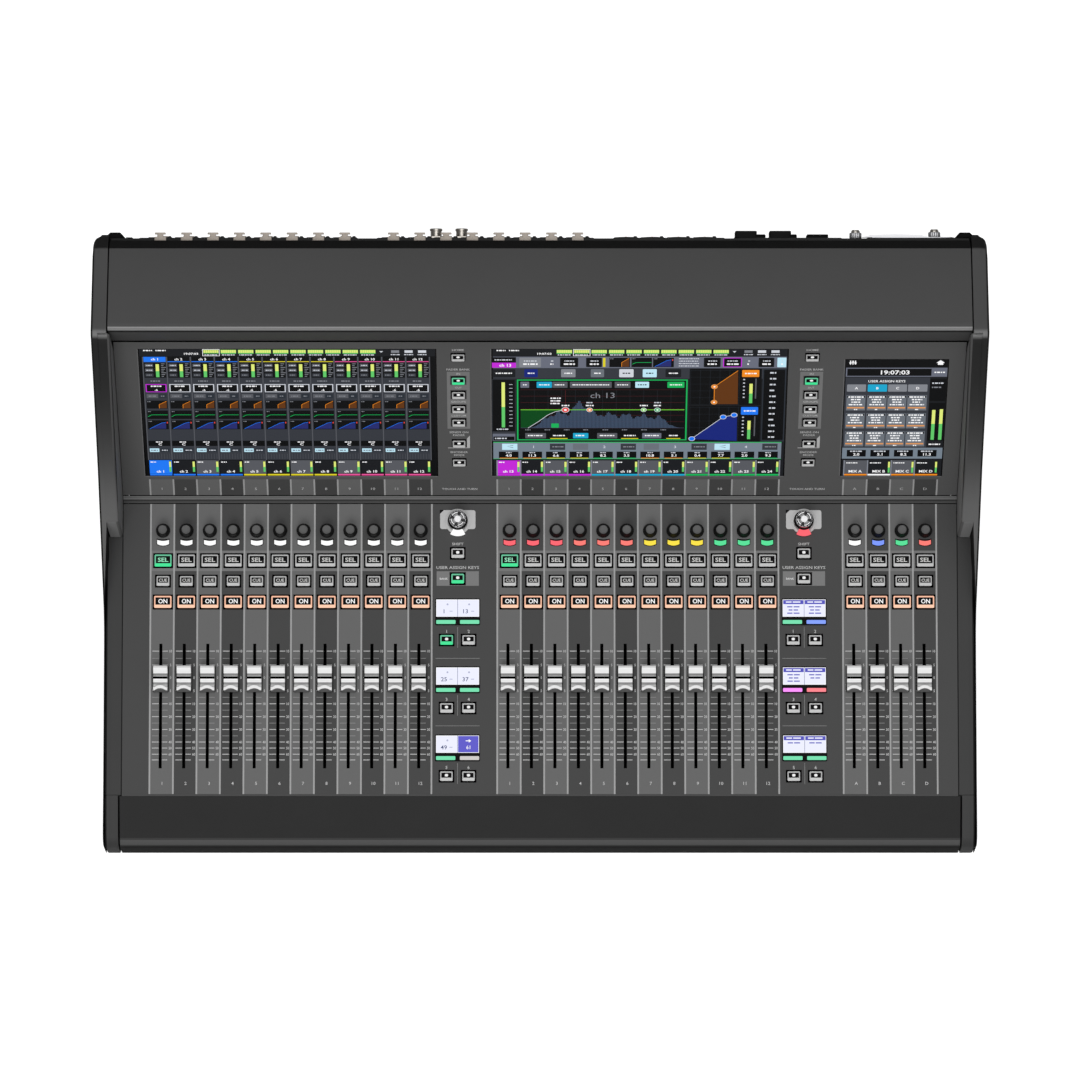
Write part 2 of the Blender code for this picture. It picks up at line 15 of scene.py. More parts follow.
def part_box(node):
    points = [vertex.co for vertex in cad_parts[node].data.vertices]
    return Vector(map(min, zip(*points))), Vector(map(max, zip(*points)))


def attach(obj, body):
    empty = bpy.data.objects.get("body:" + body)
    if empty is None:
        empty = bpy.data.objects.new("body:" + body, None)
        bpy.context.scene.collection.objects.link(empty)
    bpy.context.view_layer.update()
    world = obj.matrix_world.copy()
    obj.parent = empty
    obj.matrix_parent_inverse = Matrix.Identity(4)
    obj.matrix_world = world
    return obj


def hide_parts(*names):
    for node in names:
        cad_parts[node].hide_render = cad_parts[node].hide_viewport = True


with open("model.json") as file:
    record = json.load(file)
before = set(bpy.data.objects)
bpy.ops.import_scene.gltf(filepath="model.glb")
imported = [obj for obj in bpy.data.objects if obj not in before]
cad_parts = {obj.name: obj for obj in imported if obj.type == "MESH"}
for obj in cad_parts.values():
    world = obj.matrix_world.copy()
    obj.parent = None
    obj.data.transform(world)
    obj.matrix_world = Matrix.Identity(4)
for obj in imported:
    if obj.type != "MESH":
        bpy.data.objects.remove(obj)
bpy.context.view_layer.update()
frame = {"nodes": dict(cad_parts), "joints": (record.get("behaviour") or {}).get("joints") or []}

MM = 0.001
JOINTS = {joint["name"]: joint for joint in frame["joints"]}

# ---------------------------------------------------------------- frames

PANEL_THICK = 3.0
DECK_THICK = 2.5
TOUCH_KNOB_Y = -10.5


def frame_matrix(origin, up, normal):
    """A frame whose X is the world's, whose Y runs along up and whose Z runs along normal."""
    columns = (Vector((1.0, 0.0, 0.0)), up.normalized(), normal.normalized())
    matrix = Matrix.Identity(4)
    for i, column in enumerate(columns):
        for row in range(3):
            matrix[row][i] = column[row]
    return Matrix.Translation(origin) @ matrix


def deck_matrix():
    rearward = Vector(JOINTS["fader_left_01_slide"]["axis"])
    knob = JOINTS["touch_knob_left_turn"]
    point = Vector((0.0, knob["pos_m"][1], knob["pos_m"][2]))
    return frame_matrix(point - rearward * TOUCH_KNOB_Y * MM, rearward, Vector(knob["axis"]))


def panel_matrix():
    normal = -Vector(JOINTS["display_key_mat_left_press"]["axis"])
    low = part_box("display_panel")[0]
    origin = Vector((0.0, low.y, low.z + PANEL_THICK * MM * normal.z))
    return frame_matrix(origin, normal.cross(Vector((1.0, 0.0, 0.0))), normal)


WORLD = Matrix.Identity(4)
DECK = deck_matrix()
PANEL = panel_matrix()


def top_span(node, place):
    """The span (x0, x1, y0, y1) of a node's highest face in a frame, in millimetres."""
    inverse = place.inverted()
    points = [inverse @ v.co / MM for v in frame["nodes"][node].data.vertices]
    level = max(p.z for p in points) - 0.1
    top = [p for p in points if p.z > level]
    xs = [p.x for p in top]
    ys = [p.y for p in top]
    return min(xs), max(xs), min(ys), max(ys)


def world_box(node):
    low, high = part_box(node)
    return low / MM, high / MM


# ---------------------------------------------------------------- places of the controls

SLOT_OFFSET = -0.95
KEY_OFFSET = 0.6
ENCODER_OFFSET = 0.5
BANKS = {"left": 12, "centre": 12, "right": 4}
SECTIONS = ("left", "centre")


def strip_centres(bank):
    centres = []
    for number in range(1, BANKS[bank] + 1):
        low, high = world_box(f"fader_{bank}_{number:02d}")
        centres.append((low.x + high.x) / 2 - SLOT_OFFSET)
    return centres


STRIPS = {bank: strip_centres(bank) for bank in BANKS}
PITCH = STRIPS["left"][1] - STRIPS["left"][0]
UTILITY_X = {side: JOINTS[f"touch_knob_{side}_turn"]["pos_m"][0] / MM for side in SECTIONS}
PANEL_KEYS_X = {}
for section in SECTIONS:
    span = top_span(f"display_key_mat_{section}", PANEL)
    PANEL_KEYS_X[section] = (span[0] + span[1]) / 2
SCREENS = {side: top_span(f"touchscreen_{side}", PANEL) for side in ("left", "centre", "right")}
DECK_HALF = world_box("fader_deck")[1].x
DECK_LENGTH = 260.0
PANEL_LENGTH = 200.0

SEL_KEY = {"y": -47.3, "size": (15.4, 11.0), "word": "SEL", "surround": (17.2, 13.0), "letters": (3.9, 9.5)}
CUE_KEY = {"y": -66.0, "size": (11.8, 9.1), "word": "CUE", "surround": (13.5, 11.0), "letters": (2.8, 7.3)}
ON_KEY = {"y": -85.1, "size": (15.8, 11.0), "word": "ON", "surround": (17.5, 12.7), "letters": (4.2, 8.2)}
CHANNEL_KEYS = (SEL_KEY, CUE_KEY, ON_KEY)
SMALL_KEY = (11.6, 8.8)
SMALL_SURROUND = (13.6, 10.6)
SHIFT_KEY_Y = -40.6
BANK_KEY_Y = -63.8
PAIR_KEYS_Y = (-119.8, -181.8, -243.8)
PAIR_KEY_X = 10.0
LCD_Y = (-90.7, -152.7, -214.7)
LED_BAR_Y = (-103.35, -165.35, -227.35)
PANEL_KEYS_Y = (181.0, 151.0, 132.5, 114.0, 96.5, 69.0, 44.0)
KEY_CLEARANCE = 0.8
KEY_TOP = 1.6
KEY_BASE = -5.3
ENCODER_Y = -20.0
SLOT_Y = (-236.6, -123.2)
SLOT_WIDTH = 2.8
FADER_Y = -155.4

# ---------------------------------------------------------------- finishes


def linear(value):
    value /= 255.0
    return value / 12.92 if value <= 0.04045 else ((value + 0.055) / 1.055) ** 2.4


def linear_colour(colour):
    return tuple(linear(c) for c in colour) + (1.0,)


def new_material(name):
    material = bpy.data.materials.new(name)
    material.use_nodes = True
    return material, material.node_tree, material.node_tree.nodes["Principled BSDF"]


def add_node(tree, kind, **inputs):
    node = tree.nodes.new(kind)
    for name, value in inputs.items():
        node.inputs[name.replace("_", " ")].default_value = value
    return node


def surface(name, colour, roughness=0.5, metallic=0.0, grain=600.0, bump=0.05, bump_mm=0.05,
            variation=0.0, patches=18.0, wear=0.06, coat=0.0, specular=0.1):
    """A moulded, painted or metal finish. Fine grain drives the bump, wide patches the roughness, and
    with some variation the colour too. colour is in display values from 0 to 255."""
    material, tree, shader = new_material(name)
    shader.inputs["Base Color"].default_value = linear_colour(colour)
    shader.inputs["Metallic"].default_value = metallic
    shader.inputs["Coat Weight"].default_value = coat
    shader.inputs["Specular IOR Level"].default_value = specular
    place = tree.nodes.new("ShaderNodeTexCoord")
    wide = add_node(tree, "ShaderNodeTexNoise", Scale=patches, Detail=4.0, Roughness=0.6)
    fine = add_node(tree, "ShaderNodeTexNoise", Scale=grain, Detail=3.0, Roughness=0.65)
    for noise in (wide, fine):
        tree.links.new(place.outputs["Object"], noise.inputs["Vector"])
    rough = tree.nodes.new("ShaderNodeMapRange")
    rough.inputs["To Min"].default_value = max(roughness - wear, 0.02)
    rough.inputs["To Max"].default_value = min(roughness + wear, 1.0)
    tree.links.new(wide.outputs["Fac"], rough.inputs["Value"])
    tree.links.new(rough.outputs["Result"], shader.inputs["Roughness"])
    relief = add_node(tree, "ShaderNodeBump", Strength=bump, Distance=bump_mm * MM)
    tree.links.new(fine.outputs["Fac"], relief.inputs["Height"])
    tree.links.new(relief.outputs["Normal"], shader.inputs["Normal"])
    if variation:
        blend = tree.nodes.new("ShaderNodeMix")
        blend.data_type = "RGBA"
        blend.inputs["A"].default_value = linear_colour([c * (1 - variation) for c in colour])
        blend.inputs["B"].default_value = linear_colour([min(c * (1 + variation), 255) for c in colour])
        tree.links.new(wide.outputs["Fac"], blend.inputs["Factor"])
        tree.links.new(blend.outputs["Result"], shader.inputs["Base Color"])
    return material


def pebbled(name, colour, roughness, cell, depth_mm):
    """Soft-touch skin: raised pebbles from a Voronoi pattern, over colour that varies slightly."""
    material = surface(name, colour, roughness, grain=900.0, variation=0.10, wear=0.08)
    tree = material.node_tree
    shader = tree.nodes["Principled BSDF"]
    place = tree.nodes.new("ShaderNodeTexCoord")
    cells = add_node(tree, "ShaderNodeTexVoronoi", Scale=1000.0 / cell)
    cells.feature = "SMOOTH_F1"
    tree.links.new(place.outputs["Object"], cells.inputs["Vector"])
    relief = add_node(tree, "ShaderNodeBump", Strength=0.7, Distance=depth_mm * MM)
    relief.invert = True
    tree.links.new(cells.outputs["Distance"], relief.inputs["Height"])
    tree.links.new(relief.outputs["Normal"], shader.inputs["Normal"])
    return material


def brushed(name, colour, roughness, stretch):
    """Metal with fine lines along X."""
    material = surface(name, colour, roughness, metallic=0.95, wear=0.05)
    tree = material.node_tree
    shader = tree.nodes["Principled BSDF"]
    place = tree.nodes.new("ShaderNodeTexCoord")
    stretched = tree.nodes.new("ShaderNodeMapping")
    stretched.inputs["Scale"].default_value = stretch
    lines = add_node(tree, "ShaderNodeTexNoise", Scale=1.0, Detail=5.0)
    tree.links.new(place.outputs["Object"], stretched.inputs["Vector"])
    tree.links.new(stretched.outputs["Vector"], lines.inputs["Vector"])
    relief = add_node(tree, "ShaderNodeBump", Strength=0.12, Distance=0.05 * MM)
    tree.links.new(lines.outputs["Fac"], relief.inputs["Height"])
    tree.links.new(relief.outputs["Normal"], shader.inputs["Normal"])
    return material


def glow(name, colour, strength=1.0):
    """A lit surface: a display colour, an LED or a lit key top."""
    material, tree, shader = new_material(name)
    shader.inputs["Base Color"].default_value = (0.0, 0.0, 0.0, 1.0)
    shader.inputs["Roughness"].default_value = 0.35
    shader.inputs["Specular IOR Level"].default_value = 0.15
    shader.inputs["Emission Color"].default_value = linear_colour(colour)
    shader.inputs["Emission Strength"].default_value = strength
    return material


# Cheek paint from front to rear, with painted light and shade: (y in mm, display grey). The long slope darkens towards
# the lip as painted shade, a painted highlight band crosses the lip near y 130 and the rear chamfer is painted near
# black as shade.
CHEEK_PAINTED_LIGHT = (
    (-64.0, 62), (-56.0, 90), (0.0, 90), (9.8, 88), (17.3, 84), (28.5, 76), (43.0, 65), (57.4, 56),
    (71.5, 48), (85.6, 41), (99.0, 36), (124.0, 32), (128.5, 36), (130.0, 104), (133.5, 104),
    (136.5, 64), (142.0, 62), (212.0, 62),
    (213.5, 14), (226.0, 14),
)
CHEEK_SPAN = (-70.0, 230.0)


def cheek_paint():
    """The cheeks' paint, whose grey follows the console's depth: painted shade down the slope, a painted highlight on
    the lip and painted shade on the rear chamfer.
    """
    material = surface("cheek_paint", (56, 56, 56), 0.52, bump=0.12)
    tree = material.node_tree
    place = tree.nodes.new("ShaderNodeTexCoord")
    split = tree.nodes.new("ShaderNodeSeparateXYZ")
    tree.links.new(place.outputs["Object"], split.inputs["Vector"])
    share = tree.nodes.new("ShaderNodeMapRange")
    share.inputs["From Min"].default_value = CHEEK_SPAN[0] * MM
    share.inputs["From Max"].default_value = CHEEK_SPAN[1] * MM
    tree.links.new(split.outputs["Y"], share.inputs["Value"])
    ramp = tree.nodes.new("ShaderNodeValToRGB")
    stops = ramp.color_ramp.elements
    for i, (y, grey) in enumerate(CHEEK_PAINTED_LIGHT):
        position = (y - CHEEK_SPAN[0]) / (CHEEK_SPAN[1] - CHEEK_SPAN[0])
        stop = stops[i] if i < 2 else stops.new(position)
        stop.position = position
        stop.color = linear_colour((grey, grey, grey))
    tree.links.new(share.outputs["Result"], ramp.inputs["Fac"])
    tree.links.new(ramp.outputs["Color"], tree.nodes["Principled BSDF"].inputs["Base Color"])
    return material


def circuit_board():
    """Green solder mask with copper tracks showing through as paler lines."""
    material = surface("circuit_board", (28, 84, 52), 0.45, bump=0.1, variation=0.15)
    tree = material.node_tree
    shader = tree.nodes["Principled BSDF"]
    place = tree.nodes.new("ShaderNodeTexCoord")
    tracks = add_node(tree, "ShaderNodeTexBrick", Scale=140.0)
    tracks.inputs["Color1"].default_value = linear_colour((26, 92, 56))
    tracks.inputs["Color2"].default_value = linear_colour((22, 76, 46))
    tracks.inputs["Mortar"].default_value = linear_colour((70, 128, 84))
    tree.links.new(place.outputs["Object"], tracks.inputs["Vector"])
    tree.links.new(tracks.outputs["Color"], shader.inputs["Base Color"])
    return material


SURFACES = {
    "hood_paint": {"colour": (63, 63, 63), "roughness": 0.55, "variation": 0.03, "bump": 0.10},
    # Near black paint for the cheek's inner face, painted shade.
    "cheek_inner_painted_shade": {"colour": (16, 16, 16), "roughness": 0.60, "variation": 0.05},
    "deck_margin": {"colour": (64, 64, 64), "roughness": 0.55, "bump": 0.08},
    "deck_middle": {"colour": (64, 64, 64), "roughness": 0.55, "bump": 0.08},
    "strip_light": {"colour": (93, 93, 93), "roughness": 0.55, "bump": 0.08},
    "strip_dark": {"colour": (62, 62, 62), "roughness": 0.55, "bump": 0.08},
    "strip_band": {"colour": (108, 108, 108), "roughness": 0.55, "bump": 0.08},
    "divider": {"colour": (146, 146, 146), "roughness": 0.50, "bump": 0.05},
    "panel_paint": {"colour": (79, 79, 79), "roughness": 0.55, "bump": 0.08},
    "seam": {"colour": (3, 3, 3), "roughness": 0.9, "specular": 0.0},
    "black_steel": {"colour": (22, 22, 22), "roughness": 0.5, "bump": 0.25, "specular": 0.15},
    "black_plastic": {"colour": (11, 11, 11), "roughness": 0.5, "bump": 0.15, "specular": 0.04},
    "knob_skirt": {"colour": (12, 12, 12), "roughness": 0.55, "bump": 0.15},
    # Grey paint on the encoder knob's top, painted light falling on the black knob from above.
    "knob_cap": {"colour": (84, 84, 84), "roughness": 0.5, "bump": 0.10},
    "glass": {"colour": (4, 4, 5), "roughness": 0.12, "bump": 0.0, "wear": 0.04, "specular": 0.15},
    "key_body": {"colour": (168, 168, 168), "roughness": 0.55, "bump": 0.08},
    "key_lip": {"colour": (186, 186, 186), "roughness": 0.55, "bump": 0.08},
    "key_window": {"colour": (4, 4, 5), "roughness": 0.35, "bump": 0.0, "specular": 0.03},
    # The fader caps' tones: painted highlight, light, halftone and shade on the cap's slopes.
    "cap_painted_highlight": {"colour": (222, 222, 222), "roughness": 0.42, "bump": 0.06},
    "cap_painted_light": {"colour": (190, 190, 190), "roughness": 0.42, "bump": 0.06},
    "cap_painted_halftone": {"colour": (132, 132, 132), "roughness": 0.42, "bump": 0.06},
    "cap_painted_shade": {"colour": (98, 98, 98), "roughness": 0.42, "bump": 0.06},
    "print_grey": {"colour": (178, 178, 178), "roughness": 0.6, "bump": 0.0},
    "print_dim": {"colour": (140, 140, 140), "roughness": 0.6, "bump": 0.0},
    "print_white": {"colour": (225, 225, 225), "roughness": 0.6, "bump": 0.0},
    "plate_grey": {"colour": (172, 172, 172), "roughness": 0.4, "bump": 0.05},
    "plate_soft": {"colour": (112, 112, 112), "roughness": 0.55, "bump": 0.05},
    "rubber": {"colour": (14, 14, 14), "roughness": 0.9, "bump": 0.4, "specular": 0.04},
    "screw": {"colour": (60, 60, 62), "roughness": 0.35, "metallic": 0.9},
    "gold": {"colour": (212, 175, 92), "roughness": 0.3, "metallic": 1.0},
    "nickel": {"colour": (150, 146, 140), "roughness": 0.28, "metallic": 1.0, "bump": 0.03},
    # The touch knob's painted highlight, halftone and shade, standing in for reflections on its metal.
    "silver_bright": {"colour": (196, 196, 197), "roughness": 0.35, "metallic": 0.3, "bump": 0.03},
    "silver_mid": {"colour": (122, 122, 123), "roughness": 0.35, "metallic": 0.3, "bump": 0.03},
    "silver_painted_shade": {"colour": (40, 40, 41), "roughness": 0.35, "metallic": 0.3, "bump": 0.03},
    # The key webs, painted near black as the shade deep in the key openings.
    "silicone": {"colour": (6, 6, 6), "roughness": 0.9, "bump": 0.1, "specular": 0.0},
    # The hood's rear chamfer, painted near black as shade.
    "hood_chamfer_painted_shade": {"colour": (14, 14, 14), "roughness": 0.6, "specular": 0.04},
    # Painted highlights and painted shade round the hood's lip.
    "lip_painted_highlight": {"colour": (128, 128, 128), "roughness": 0.5, "bump": 0.08},
    "lip_painted_soft_highlight": {"colour": (98, 98, 98), "roughness": 0.5, "bump": 0.08},
    "lip_painted_halftone": {"colour": (96, 96, 96), "roughness": 0.5, "bump": 0.08},
    "lip_painted_shade": {"colour": (24, 24, 24), "roughness": 0.6, "bump": 0.08},
    # Painted highlight and painted shade along the deck's rear bead.
    "bead_painted_highlight": {"colour": (92, 92, 92), "roughness": 0.5, "bump": 0.08},
    "bead_painted_shade": {"colour": (52, 52, 52), "roughness": 0.5, "bump": 0.08},
    "rail_paint": {"colour": (55, 55, 55), "roughness": 0.55, "bump": 0.1},
    # Flat black painted shade: round key openings, deep in the fader slots and in the wing's gap.
    "slot_black": {"colour": (1, 1, 1), "roughness": 1.0, "specular": 0.0},
    "latch": {"colour": (142, 134, 126), "roughness": 0.4, "metallic": 0.2, "bump": 0.05},
    # Paint lightened as painted light on the cheek's front step and inner wall, and a painted highlight on its inner
    # edge.
    "step_wall_painted_light": {"colour": (122, 122, 122), "roughness": 0.55},
    "cheek_wall_painted_light": {"colour": (118, 118, 118), "roughness": 0.55},
    "cheek_rim_painted_highlight": {"colour": (70, 70, 70), "roughness": 0.55},
    # Painted highlight and painted shade across the armrest's nose.
    "arm_painted_highlight": {"colour": (76, 76, 76), "roughness": 0.7, "bump": 0.3},
    "arm_painted_soft_highlight": {"colour": (54, 54, 54), "roughness": 0.7, "bump": 0.3},
    "arm_painted_shade": {"colour": (30, 30, 30), "roughness": 0.8, "bump": 0.3},
    "screen_frame": {"colour": (96, 96, 97), "roughness": 0.5},
    "fascia": {"colour": (68, 68, 68), "roughness": 0.55, "bump": 0.08},
    # A painted highlight for the cheek's inner edge.
    "cheek_edge_painted_highlight": {"colour": (62, 62, 62), "roughness": 0.5, "bump": 0.08},
    # Painted shade on outer edges turned from the light and in the gaps and creases beside them.
    "rim_dark": {"colour": (14, 14, 14), "roughness": 0.6, "bump": 0.1},
}
GLOWS = {
    "lit_white": (255, 255, 255), "lit_red": (255, 96, 108), "lit_salmon": (255, 120, 112),
    "lit_yellow": (250, 225, 60), "lit_green": (80, 225, 150), "lit_blue": (120, 150, 255),
    "key_green": (100, 190, 150), "key_green_lip": (60, 230, 150), "key_green_word": (150, 230, 190),
    "key_peach": (250, 190, 160), "key_peach_lip": (255, 205, 175), "key_dot": (240, 240, 240),
    "key_word": (200, 200, 198),
    "lcd_white": (236, 238, 255), "lcd_edge": (252, 252, 255), "lcd_divide": (110, 115, 150),
    "lcd_ink": (70, 80, 120), "lcd_faint": (176, 180, 206), "lcd_blue": (90, 86, 200),
    "lcd_header": (76, 76, 186), "bar_mint": (115, 225, 175), "bar_grey": (206, 202, 200),
    "bar_blue": (130, 160, 255), "bar_magenta": (255, 145, 255), "bar_salmon": (255, 130, 140),
    "ui_black": (4, 5, 7), "ui_dark": (24, 26, 30), "ui_grey": (86, 88, 94), "ui_mid": (130, 133, 140),
    "ui_slate": (104, 108, 122), "ui_light": (208, 212, 220), "ui_white": (250, 250, 252),
    "ui_blue": (30, 120, 245), "ui_navy": (20, 36, 120), "ui_teal": (25, 165, 205),
    "ui_cyan": (190, 230, 245), "ui_magenta": (195, 40, 215), "ui_pink": (232, 82, 152),
    "ui_yellow": (222, 208, 36), "ui_lime": (120, 215, 60), "ui_green": (22, 176, 88),
    "ui_forest": (0, 70, 22), "ui_orange": (240, 140, 28), "ui_brown": (96, 52, 14),
    "ui_spectrum": (62, 78, 102), "ui_red": (232, 70, 66), "ui_grid": (40, 46, 54),
    "ui_frame": (128, 132, 142), "ui_amber": (220, 150, 90), "meter_green": (96, 200, 104),
    "meter_lime": (224, 236, 122), "ui_band": (116, 128, 140), "ui_shade": (52, 55, 62),
    "ui_haze": (36, 42, 108), "ui_wine": (84, 30, 34), "ui_key": (106, 112, 120),
}


def make_finishes():
    made = {name: surface(name, **values) for name, values in SURFACES.items()}
    made.update({name: glow(name, colour) for name, colour in GLOWS.items()})
    made["armrest_skin"] = pebbled("armrest_skin", (39, 39, 39), 0.72, cell=1.1, depth_mm=0.10)
    made["silver"] = brushed("silver", (150, 150, 152), 0.3, (40.0, 900.0, 900.0))
    made["circuit_board"] = circuit_board()
    made["cheek_paint"] = cheek_paint()
    return made


FINISHES = make_finishes()

# ---------------------------------------------------------------- shapes


class Shape:
    """Faces gathered in one frame, in millimetres, each with the name of its finish."""

    def __init__(self):
        self.points = []
        self.faces = []
        self.finishes = []

    def add(self, points, faces, finish):
        """Adds faces, given as index tuples into points. finish is one name or one for each face."""
        first = len(self.points)
        self.points.extend(points)
        names = [finish] * len(faces) if isinstance(finish, str) else finish
        for face, name in zip(faces, names):
            self.faces.append(tuple(first + i for i in face))
            self.finishes.append(name)

    def mesh(self, name, sharp_deg=35):
        mesh = bpy.data.meshes.new(name)
        mesh.from_pydata([(x * MM, y * MM, z * MM) for x, y, z in self.points], [], self.faces)
        names = list(dict.fromkeys(self.finishes))
        for finish in names:
            mesh.materials.append(FINISHES[finish])
        indices = {finish: i for i, finish in enumerate(names)}
        mesh.polygons.foreach_set("material_index", [indices[f] for f in self.finishes])
        mesh.shade_smooth()
        mesh.set_sharp_from_angle(angle=math.radians(sharp_deg))
        mesh.update()
        return mesh


def place_piece(name, mesh, place, body, replaces=(), bevel=0.0, segments=3, angle=40):
    """One visible piece: the mesh set in its frame, riding on a body, with optional rounded edges."""
    piece = bpy.data.objects.new(name, mesh)
    bpy.context.scene.collection.objects.link(piece)
    piece.matrix_world = place
    if bevel:
        rounding = piece.modifiers.new("rounding", "BEVEL")
        rounding.width = bevel * MM
        rounding.segments = segments
        rounding.limit_method = "ANGLE"
        rounding.angle_limit = math.radians(angle)
        rounding.harden_normals = True
    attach(piece, body)
    if replaces:
        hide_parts(*replaces)
    return piece


def rectangle(x0, x1, y0, y1):
    return [(x0, y0), (x1, y0), (x1, y1), (x0, y1)]


def rounded(x0, x1, y0, y1, radius, steps=3):
    """A rectangle with round corners, counter-clockwise."""
    outline = []
    corners = ((x1 - radius, y1 - radius, 0), (x0 + radius, y1 - radius, 90),
               (x0 + radius, y0 + radius, 180), (x1 - radius, y0 + radius, 270))
    for cx, cy, start in corners:
        for i in range(steps + 1):
            angle = math.radians(start + 90.0 * i / steps)
            outline.append((cx + radius * math.cos(angle), cy + radius * math.sin(angle)))
    return outline


def area_of(outline):
    """Twice the area inside an outline, positive when it runs counter-clockwise."""
    return sum(a[0] * b[1] - b[0] * a[1] for a, b in zip(outline, outline[1:] + outline[:1]))


def flat(shape, outline, height, finish):
    """A thin printed or lit area that faces up."""
    ordered = outline if area_of(outline) > 0 else outline[::-1]
    shape.add([(x, y, height) for x, y in ordered], [tuple(range(len(ordered)))], finish)


def loft(shape, rings, finish, cap_low=True, cap_high=True, top_finish=None):
    """Walls between rings of (x, y, z) points, counter-clockwise seen from above, from low to high."""
    count = len(rings[0])
    points = [p for ring in rings for p in ring]
    faces = []
    for level in range(len(rings) - 1):
        low, high = level * count, (level + 1) * count
        for i in range(count):
            after = (i + 1) % count
            faces.append((low + i, low + after, high + after, high + i))
    names = [finish] * len(faces)
    if cap_low:
        faces.append(tuple(reversed(range(count))))
        names.append(finish)
    if cap_high:
        faces.append(tuple(range((len(rings) - 1) * count, len(rings) * count)))
        names.append(top_finish or finish)
    shape.add(points, faces, names)


def at_height(outline, z):
    return [(x, y, z) for x, y in outline]


def block(shape, x0, x1, y0, y1, z0, z1, finish, radius=0.6, edge=0.3, top_finish=None):
    """A block with round corners and a small chamfer round its top."""
    body = rounded(x0, x1, y0, y1, radius)
    top = rounded(x0 + edge, x1 - edge, y0 + edge, y1 - edge, max(radius - edge, 0.05))
    rings = [at_height(body, z0), at_height(body, z1 - edge), at_height(top, z1)]
    loft(shape, rings, finish, top_finish=top_finish)


def circle(cx, cy, radius, segments, flutes=0, depth=0.0):
    """A ring of points, with optional flutes cut into it."""
    outline = []
    for i in range(segments):
        angle = 2 * math.pi * i / segments
        cut = depth * (0.5 - 0.5 * math.cos(flutes * angle)) if flutes else 0.0
        outline.append((cx + (radius - cut) * math.cos(angle), cy + (radius - cut) * math.sin(angle)))
    return outline


def turned(shape, cx, cy, profile, segments, finish, top_finish=None, flutes=0, depth=0.0):
    """A solid turned about an upright axis. The profile's (radius, z) points run from low to high."""
    rings = []
    for i, (radius, z) in enumerate(profile):
        cut = depth if 0 < i < len(profile) - 1 else 0.0
        rings.append(at_height(circle(cx, cy, radius, segments, flutes, cut), z))
    loft(shape, rings, finish, top_finish=top_finish)


def sector(cx, cy, r0, r1, start_deg, end_deg, steps=14):
    """A piece of a ring as one outline."""
    outline = []
    for radius, a0, a1 in ((r0, start_deg, end_deg), (r1, end_deg, start_deg)):
        for i in range(steps + 1):
            angle = math.radians(a0 + (a1 - a0) * i / steps)
            outline.append((cx + radius * math.cos(angle), cy + radius * math.sin(angle)))
    return outline


def raised(shape, outline, z0, z1, finish, top_finish=None):
    """A low solid with upright sides."""
    ordered = outline if area_of(outline) > 0 else outline[::-1]
    loft(shape, [at_height(ordered, z0), at_height(ordered, z1)], finish, top_finish=top_finish)


def prism(shape, outline, x0, x1, finish):
    """A solid along X whose section is a closed outline of (y, z) points."""
    ordered = outline if area_of(outline) > 0 else outline[::-1]
    count = len(ordered)
    points = [(x0, y, z) for y, z in ordered] + [(x1, y, z) for y, z in ordered]
    faces = [(i, (i + 1) % count, count + (i + 1) % count, count + i) for i in range(count)]
    faces += [tuple(reversed(range(count))), tuple(range(count, 2 * count))]
    shape.add(points, faces, finish)


def arc(centre, radius, start_deg, end_deg, steps):
    points = []
    for i in range(steps + 1):
        angle = math.radians(start_deg + (end_deg - start_deg) * i / steps)
        points.append((centre[0] + radius * math.cos(angle), centre[1] + radius * math.sin(angle)))
    return points


LETTERS = {}
CAP_SHARE = 0.729


def letters(word, spacing=1.0, weight=0.0):
    """The outline faces of a word at cap height 1, centred on x 0 and standing on y 0. weight thickens it."""
    key = (word, spacing, weight)
    if key in LETTERS:
        return LETTERS[key]
    curve = bpy.data.curves.new("word", "FONT")
    curve.body = word
    curve.resolution_u = 2
    curve.space_character = spacing
    curve.offset = weight
    curve.align_x = "CENTER"
    holder = bpy.data.objects.new("word", curve)
    bpy.context.scene.collection.objects.link(holder)
    graph = bpy.context.evaluated_depsgraph_get()
    mesh = bpy.data.meshes.new_from_object(holder.evaluated_get(graph))
    points = [(v.co.x / CAP_SHARE, v.co.y / CAP_SHARE) for v in mesh.vertices]
    faces = [tuple(p.vertices) for p in mesh.polygons]
    bpy.data.objects.remove(holder)
    bpy.data.curves.remove(curve)
    bpy.data.meshes.remove(mesh)
    LETTERS[key] = (points, faces)
    return LETTERS[key]


def write(shape, word, x, y, height, size, finish, width=1.0, spacing=1.0, anchor=0.5, weight=0.0):
    """Letters of cap height size whose middle is at y. anchor 0 starts the word at x, and 1 ends it there."""
    points, faces = letters(word, spacing, weight)
    if not points:
        return
    scale = size * width
    low = min(p[0] for p in points) * scale
    high = max(p[0] for p in points) * scale
    shift = x - (low + (high - low) * anchor)
    placed = [(shift + px * scale, y - size / 2 + py * size, height) for px, py in points]
    shape.add(placed, faces, finish)


def fit_word(shape, word, x, y, height, size, finish, weight=0.012, spacing=1.0):
    """A word stretched to a size (cap height, width) about (x, y)."""
    points, _ = letters(word, spacing, weight)
    natural = max(p[0] for p in points) - min(p[0] for p in points)
    write(shape, word, x, y, height, size[0], finish, size[1] / (natural * size[0]), spacing, 0.5, weight)


